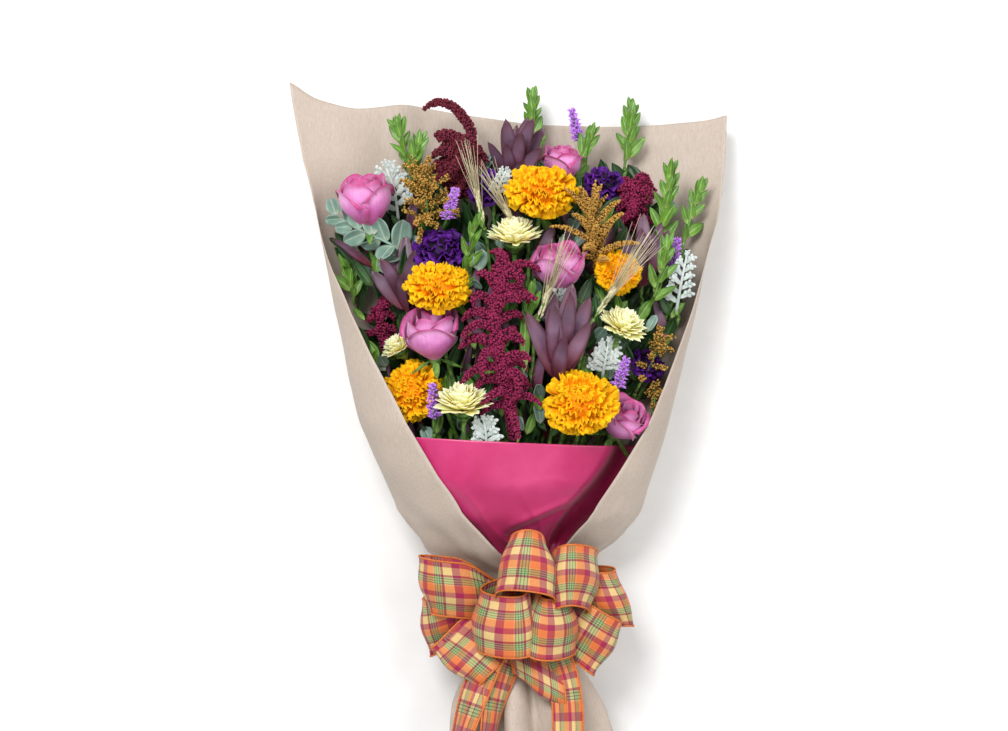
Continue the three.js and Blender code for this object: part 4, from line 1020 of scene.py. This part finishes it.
def liatris(bm, line, draw):
    """A spike of feathery tufts, open from the top down."""
    at, axis = walk(line, 1)
    tube(bm, [line[0], at - axis * 14, at + axis * 18], [1.6, 1.4, 0.8], 6)
    tufts = 30
    for i in range(tufts):
        t = (i + 0.5) / tufts
        centre = at + axis * mix(-16, 19, t)
        for _ in range(7):
            way = off_axis(axis, GOLDEN_ANGLE * i + draw.uniform(-40, 40), draw.uniform(35, 85))
            reach = mix(9.5, 5.5, t) * draw.uniform(0.7, 1.1)
            place = frame_at(centre + way * reach * 0.5, way)
            stamp(bm, place @ Matrix.Diagonal((0.75, 0.75, reach * 0.55, 1)))


def barley(bm, line, draw, length):
    """A ripe ear: rows of grains, each with a long awn."""
    at, axis = walk(line, 1)
    ear = [at - axis * 14, at + axis * 2, at + axis * 16]
    tube(bm, [line[0], *ear], [1.1, 1.2, 1.4, 0.6], 6)
    grains = 30
    for i in range(grains):
        root = ear[0].lerp(ear[2], (i + 0.5) / grains)
        way = off_axis(axis, 180 * (i % 2) + 90 + draw.uniform(-30, 30), draw.uniform(10, 22))
        stamp(bm, frame_at(root + way * 3.4, way) @ Matrix.Diagonal((1.1, 1.5, 4.6, 1)))
        reach = length * draw.uniform(0.72, 1.0)
        sweep = off_axis(axis, GOLDEN_ANGLE * i, draw.uniform(2, 15))
        sag = V((draw.uniform(-0.1, 0.1), 0, draw.uniform(-0.12, 0.05)))
        awn = [root + way * 6]
        for k in range(1, 6):
            awn.append(awn[-1] + (sweep + sag * k / 5).normalized() * reach / 5)
        tube(bm, awn, [0.42, 0.38, 0.35, 0.3, 0.24, 0.15], 3, finish=1)


def dusty_miller(bm, line, draw, lobe_reach):
    """A felted leaf cut into rounded lobes along both sides of a pale rib."""
    stalk(bm, line, 1.5, 0.8, 1)
    lobes = 11
    for i in range(lobes):
        t = mix(0.12, 1, (i + 0.5) / lobes)
        at, axis = walk(line, t)
        side = 1 if i % 2 else -1
        last = i == lobes - 1
        way = off_axis(axis, side * 90 + draw.uniform(-14, 14), 0 if last else mix(66, 34, t))
        reach = lobe_reach * (0.55 if last else mix(1.05, 0.7, t)) * draw.uniform(0.9, 1.1)
        foot = frame_at(at, way)
        bend = draw.uniform(-14, 14)
        blade(bm, foot, reach, reach * 0.3, (0.3, 0.25), bend, cup=0.1, wave=0.3, finish=1)
        for small in range(4):
            lobe = off_axis(way, 90 if small % 2 else -90, 42)
            root = frame_at(foot @ V((0, 0, reach * mix(0.4, 0.8, small / 3))), lobe)
            bend = draw.uniform(-20, 20)
            blade(bm, root, reach * 0.4, reach * 0.22, (0.3, 0.22), bend, cup=0.1, grid=(2, 4), finish=1)


def eucalyptus(bm, line, draw, size, count):
    """Silver-dollar leaves in pairs along a pale arching stalk, smaller towards its tip."""
    stalk(bm, line, 1.8, 0.9, 1)
    for i in range(count):
        t = (i + 0.5) / count
        at, axis = walk(line, mix(0.1, 1, t))
        side = 90 if i % 2 else -90
        way = off_axis(axis, side + draw.uniform(-30, 50), draw.uniform(48, 82) * mix(1, 0.6, t))
        grown = size * mix(1.2, 0.62, t) * draw.uniform(0.85, 1.12)
        foot = frame_at(at, way, UP + V((draw.uniform(-0.9, 0.9), draw.uniform(-0.9, 0.9), 0)))
        bend = draw.uniform(-36, 30)
        blade(bm, foot, grown, grown * 0.78, (0.55, 0.5), bend, wave=0.5, grid=(8, 12), finish=1)


# By kind: what makes the spray, the finish of its leaves or florets, its slot and its leaves' thickness
SPRAYS = {
    "amaranthus": (amaranthus, AMARANTHUS, "amaranthus_red", 0),
    "goldenrod": (goldenrod, GOLDENROD, "goldenrod_bronze", 0),
    "green": (leafy, FRESH, "fresh_leaf", 0.4),
    "lance": (lance, LANCE, "lance_leaf", 0.7),
    "liatris": (liatris, LIATRIS, "liatris_violet", 0),
    "barley": (barley, STRAW, "barley_straw", 0),
    "dusty": (dusty_miller, DUSTY, "dusty_miller_leaf", 0.6),
    "eucalyptus": (eucalyptus, EUCALYPTUS, "eucalyptus_leaf", 0.4),
}


def foliage():
    for i, (name, path, sizes) in enumerate(FOLIAGE + EXTRAS):
        kind = name.split("_")[0]
        grow, finish, slot, thickness = SPRAYS[kind]
        if name == "amaranthus_top":
            finish = WINE
        bm = start_mesh()
        line = smooth_line(path, 13)
        grow(bm, line, random.Random(i + 50), *sizes)
        set_out("grown_" + name, bm, [STEM, finish], slot, name if i < len(FOLIAGE) else None, thickness)
        feet.append((line[0], (line[1] - line[0]).normalized(), kind))
        spray_points.extend(line[4:])


# Small leafy shoots among the flowers: the points of the stalk
SHOOTS = [
    [(-50, 120, 84), (-42, 158, 104), (-34, 196, 118)], [(64, 236, 40), (74, 268, 44), (84, 292, 44)],
    [(140, 110, 84), (152, 146, 100), (158, 176, 104)], [(-104, 238, 48), (-98, 262, 62), (-92, 282, 64)],
    [(12, 60, 100), (20, 96, 122), (22, 128, 130)], [(-157, 120, 60), (-161, 140, 66), (-163, 156, 68)],
]
# The long blade of grass in the middle: its foot and the way it grows
GRASS = V((15, 50, 124)), V((0.03, 1, 0.1))
LEAF_THICKNESS = 0.35


def shoots():
    draw = random.Random(77)
    bm = start_mesh()
    for path in SHOOTS:
        leafy(bm, smooth_line(path, 9), draw, 22, 9, 36, 14)
    blade(bm, frame_at(*GRASS), 92, 10, (0.5, 0.8), -8, wave=0.4, twist=8, grid=(4, 14), finish=1)
    set_out("small_shoots", bm, [STEM, FRESH], "fresh_leaf", thickness=LEAF_THICKNESS)


def share_out_slots():
    """Gives each foot a place in the bundle that suits its direction, so that the stems hardly cross."""
    slots = [V((c * STEM_ROW, 0, r * ROW_SPACING)) for r in range(-5, 6) for c in range(-5, 6)]
    slots.sort(key=lambda slot: slot.length)
    ways = [foot - TIE for foot, _, _ in feet]
    wanted = [26 * V((way.x / way.y, 0, way.z / way.y - 0.36)) for way in ways]
    chosen = slots[: len(feet)]
    for _ in range(30):
        for i in range(len(feet)):
            for j in range(i):
                kept = (wanted[i] - chosen[i]).length_squared + (wanted[j] - chosen[j]).length_squared
                swapped = (wanted[i] - chosen[j]).length_squared + (wanted[j] - chosen[i]).length_squared
                if swapped < kept:
                    chosen[i], chosen[j] = chosen[j], chosen[i]
    return chosen


# By kind of head: the sections of its green cup by height and radius, how far above them its sepals sit,
# and their number, length, width and spread in degrees
CALYXES = {
    "rose": ([(-9, 2.2), (-5, 5.2), (0, 6.6), (4, 5.5)], 0, 5, 25, 7, 118),
    "marigold": ([(-16, 2.4), (-8, 6), (0, 9), (6, 11)], -1, 8, 12, 5, 22),
    "carnation": ([(-18, 2.4), (-8, 5.5), (0, 7), (5, 9)], -1, 5, 12, 5, 30),
    "daisy": ([(-5, 2.2), (-1, 5), (3, 8), (6, 10)], -1, 13, 11, 3.5, 62),
}


def calyx(bm, foot, axis, kind):
    """The green cup under a head, with its sepals."""
    cup, seat, count, length, width, spread = CALYXES[kind]
    tube(bm, [foot + axis * height for height, _ in cup], [radius for _, radius in cup], 12)
    for k in range(count):
        turn = 360 * k / count
        root = foot + axis * seat + off_axis(axis, turn, 90) * 5
        way = off_axis(axis, turn, spread)
        blade(bm, frame_at(root, way, axis), length, width, (0.5, 0.8), bend=10, cup=0.2, wave=0.2)


def stems():
    """Every stem, from its cut end through its place at the tied waist to its flower or spray."""
    bm = start_mesh()
    draw = random.Random(7)
    for (foot, axis, kind), slot in zip(feet, share_out_slots()):
        tie = TIE + slot
        end = V((TIE.x + 6 + slot.x * 1.35, STEM_END_Y + 16 * draw.random(), STEM_END_Z + slot.z * 1.35))
        flower = kind in HEADS
        neck = foot - axis * (26 if flower else 14) + V((0, -6, -4))
        middle = tie.lerp(neck, 0.6) + V((0, 0, -6))
        line = smooth_line([end, tie, middle, neck, foot], 30)
        radius = STEM_RADIUS * (1.25 if flower else 1)
        tube(bm, line, [radius] * len(line), 8)
        onwards = (line[0] - line[1]).normalized()
        tube(bm, [line[0] - onwards, line[0] + 0.4 * onwards], [0.93 * radius] * 2, 8, finish=1)
        if flower:
            calyx(bm, foot, axis, kind)
    set_out("bundle_of_stems", bm, [STEM, CUT], "stem_green", "stems")


# The leaves between the flowers: from and up to which Y they root, and how high they lie, by Y
FILL_ENDS = -40, 285
FILL_HEIGHT = [(-70, 96), (-20, 118), (60, 122), (140, 112), (200, 92), (240, 66), (290, 40), (330, 22)]
# The highest Y that they reach, by X; the paper is bare above them
FILL_TOP = [
    (-190, 180), (-170, 208), (-120, 250), (-60, 280), (120, 278), (140, 246), (170, 224), (200, 180),
]
# How far they keep from the paper
FILL_MARGIN = 6
# Their kinds: how many, their length, their width by length, how high they lie by share of that height,
# the outline of the leaf and its finish
FILLERS = [
    # the low and deep leaves take the green darkened to a painted shade
    ("low_leaves", 300, (30, 52), 0.4, (0.0, 0.5), (0.6, 0.7), LEAF_IN_PAINTED_SHADE),
    ("deep_leaves", 560, (22, 46), 0.3, (0.2, 0.97), (0.6, 0.7), LEAF_IN_PAINTED_SHADE),
    ("lighter_leaves", 120, (16, 28), 0.38, (0.72, 1.0), (0.6, 0.7), FRESH),
    ("silver_leaves", 80, (14, 24), 0.6, (0.7, 1.0), (0.45, 0.4), EUCALYPTUS),
    ("burgundy_leaves", 70, (36, 60), 0.24, (0.6, 0.96), (0.5, 0.62), LANCE),
]


def hides_a_flower(point):
    """Whether a leaf here would run through a head or lie over a head or a spray."""
    for _, middle, _, radius, _ in BLOOMS:
        apart = point - V(middle)
        if apart.length < 0.94 * radius + 4 or (apart.z > 0 and apart.xy.length < radius):
            return True
    for at in spray_points:
        apart = point - at
        if apart.z > -10 and apart.xy.length < 15:
            return True
    return False


def inside_wrap(point):
    """Whether a point lies within the wrap's section, and not beyond its free edges, by a margin."""
    left, right = along(LEFT, point.y), along(RIGHT, point.y)
    aside = point.x - (left + right) / 2
    end = along(END_LEFT if aside < 0 else END_RIGHT, point.y)
    narrow = math.sin(math.radians(end)) if end < 90 else 1
    tall = (along(DEPTH, point.y) + SPINE_FLAT) / 2
    down = min(0, point.z + SPINE_FLAT - tall) / (tall - FILL_MARGIN)
    half = (right - left) / 2
    return abs(aside) < half - FILL_MARGIN and (aside / (half / narrow - FILL_MARGIN)) ** 2 + down**2 < 1


def filling():
    """Leaves of many sizes that fill the bouquet between and under its flowers."""
    draw = random.Random(31)
    for name, count, lengths, wide, heights, belly, finish in FILLERS:
        bm = start_mesh()
        grown = 0
        while grown < count:
            y = draw.uniform(*FILL_ENDS)
            left, right = along(LEFT, y), along(RIGHT, y)
            x = mix(left, right, draw.uniform(0.06, 0.94))
            edge = abs(2 * (x - left) / (right - left) - 1) ** 3
            ceiling = along(FILL_HEIGHT, y) * mix(1, 0.6, edge)
            at = V((x, y, mix(8, ceiling, draw.uniform(*heights))))
            fan = V((x - TIE.x, y - TIE.y, 0)).normalized()
            aside = V((draw.uniform(-0.8, 0.8), draw.uniform(-0.3, 0.4), draw.uniform(-0.1, 0.7)))
            way = (fan + aside).normalized()
            length = draw.uniform(*lengths)
            tip = at + way * length
            too_high = tip.y > along(FILL_TOP, tip.x) or tip.z > along(FILL_HEIGHT, tip.y) + 14
            over_pink_sheet = y < 0.4 * (x - 85)
            if too_high or over_pink_sheet:
                continue
            if any(hides_a_flower(at + way * length * share) for share in (0.1, 0.5, 1)):
                continue
            if not all(inside_wrap(at + way * length * share) for share in (0, 0.5, 1)):
                continue
            foot = frame_at(at, way, V((draw.uniform(-0.7, 0.7), draw.uniform(-0.6, 0.2), 1)))
            width = length * wide * draw.uniform(0.8, 1.2)
            bend, twist = draw.uniform(-34, 34), draw.uniform(-25, 25)
            blade(bm, foot, length, width, belly, bend, cup=0.25, wave=0.6, twist=twist, grid=(4, 6))
            grown += 1
        set_out(name, bm, [finish], "fresh_leaf", thickness=LEAF_THICKNESS)


# Soft lights: name, place and size in metres, and power in watts
SOFTBOXES = [
    ("key", (-0.7, 1.15, 2.1), 1.0, 50), ("fill", (1.3, 0.2, 1.8), 1.4, 18),
    ("front", (0.1, -1.3, 1.9), 1.4, 5),
]
# The camera's place in metres, above the middle of the picture, and its lens and sensor in millimetres
CAMERA_PLACE = -0.0045, 0.058, 2.2
LENS = 75
SENSOR = 36


def softbox(name, place, size, power):
    lamp = bpy.data.lights.new(name, "AREA")
    lamp.size = size
    lamp.energy = power
    light = bpy.data.objects.new(name, lamp)
    light.location = place
    light.rotation_euler = (V((0, 0, 0.05)) - V(place)).to_track_quat("-Z", "Y").to_euler()
    bpy.context.scene.collection.objects.link(light)


def studio():
    """A pale floor, soft light from above and the camera that looks straight down."""
    bm = bmesh.new()
    bmesh.ops.create_grid(bm, x_segments=1, y_segments=1, size=4)
    mesh = bpy.data.meshes.new("floor")
    bm.to_mesh(mesh)
    bm.free()
    mesh.materials.append(plain_finish("matt studio floor", "f0f0ef", "f4f4f3", 40, 0.9, 0.01))
    floor = bpy.data.objects.new("floor", mesh)
    floor.location.z = -0.0006  # just clear of the paper that rests on it
    scene = bpy.context.scene
    scene.collection.objects.link(floor)
    for lamp in SOFTBOXES:
        softbox(*lamp)
    scene.world = bpy.data.worlds.new("studio")
    scene.world.use_nodes = True
    sky = scene.world.node_tree.nodes["Background"].inputs
    sky["Color"].default_value = (1, 1, 1, 1)
    sky["Strength"].default_value = 0.45
    scene.view_settings.view_transform = "Standard"
    lens = bpy.data.cameras.new("camera")
    lens.lens = LENS
    lens.sensor_width = SENSOR
    camera = bpy.data.objects.new("camera", lens)
    camera.location = CAMERA_PLACE
    scene.collection.objects.link(camera)
    scene.camera = camera


kraft_paper()
pink_paper()
bow()
blooms()
foliage()
shoots()
stems()
filling()
bpy.data.meshes.remove(BUD)
for name, finish in (("waist_tie", BAND), ("stem_band", RUBBER)):
    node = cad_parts[name]
    node.data.materials.clear()
    node.data.materials.append(finish)
studio()

bpy.context.view_layer.update()
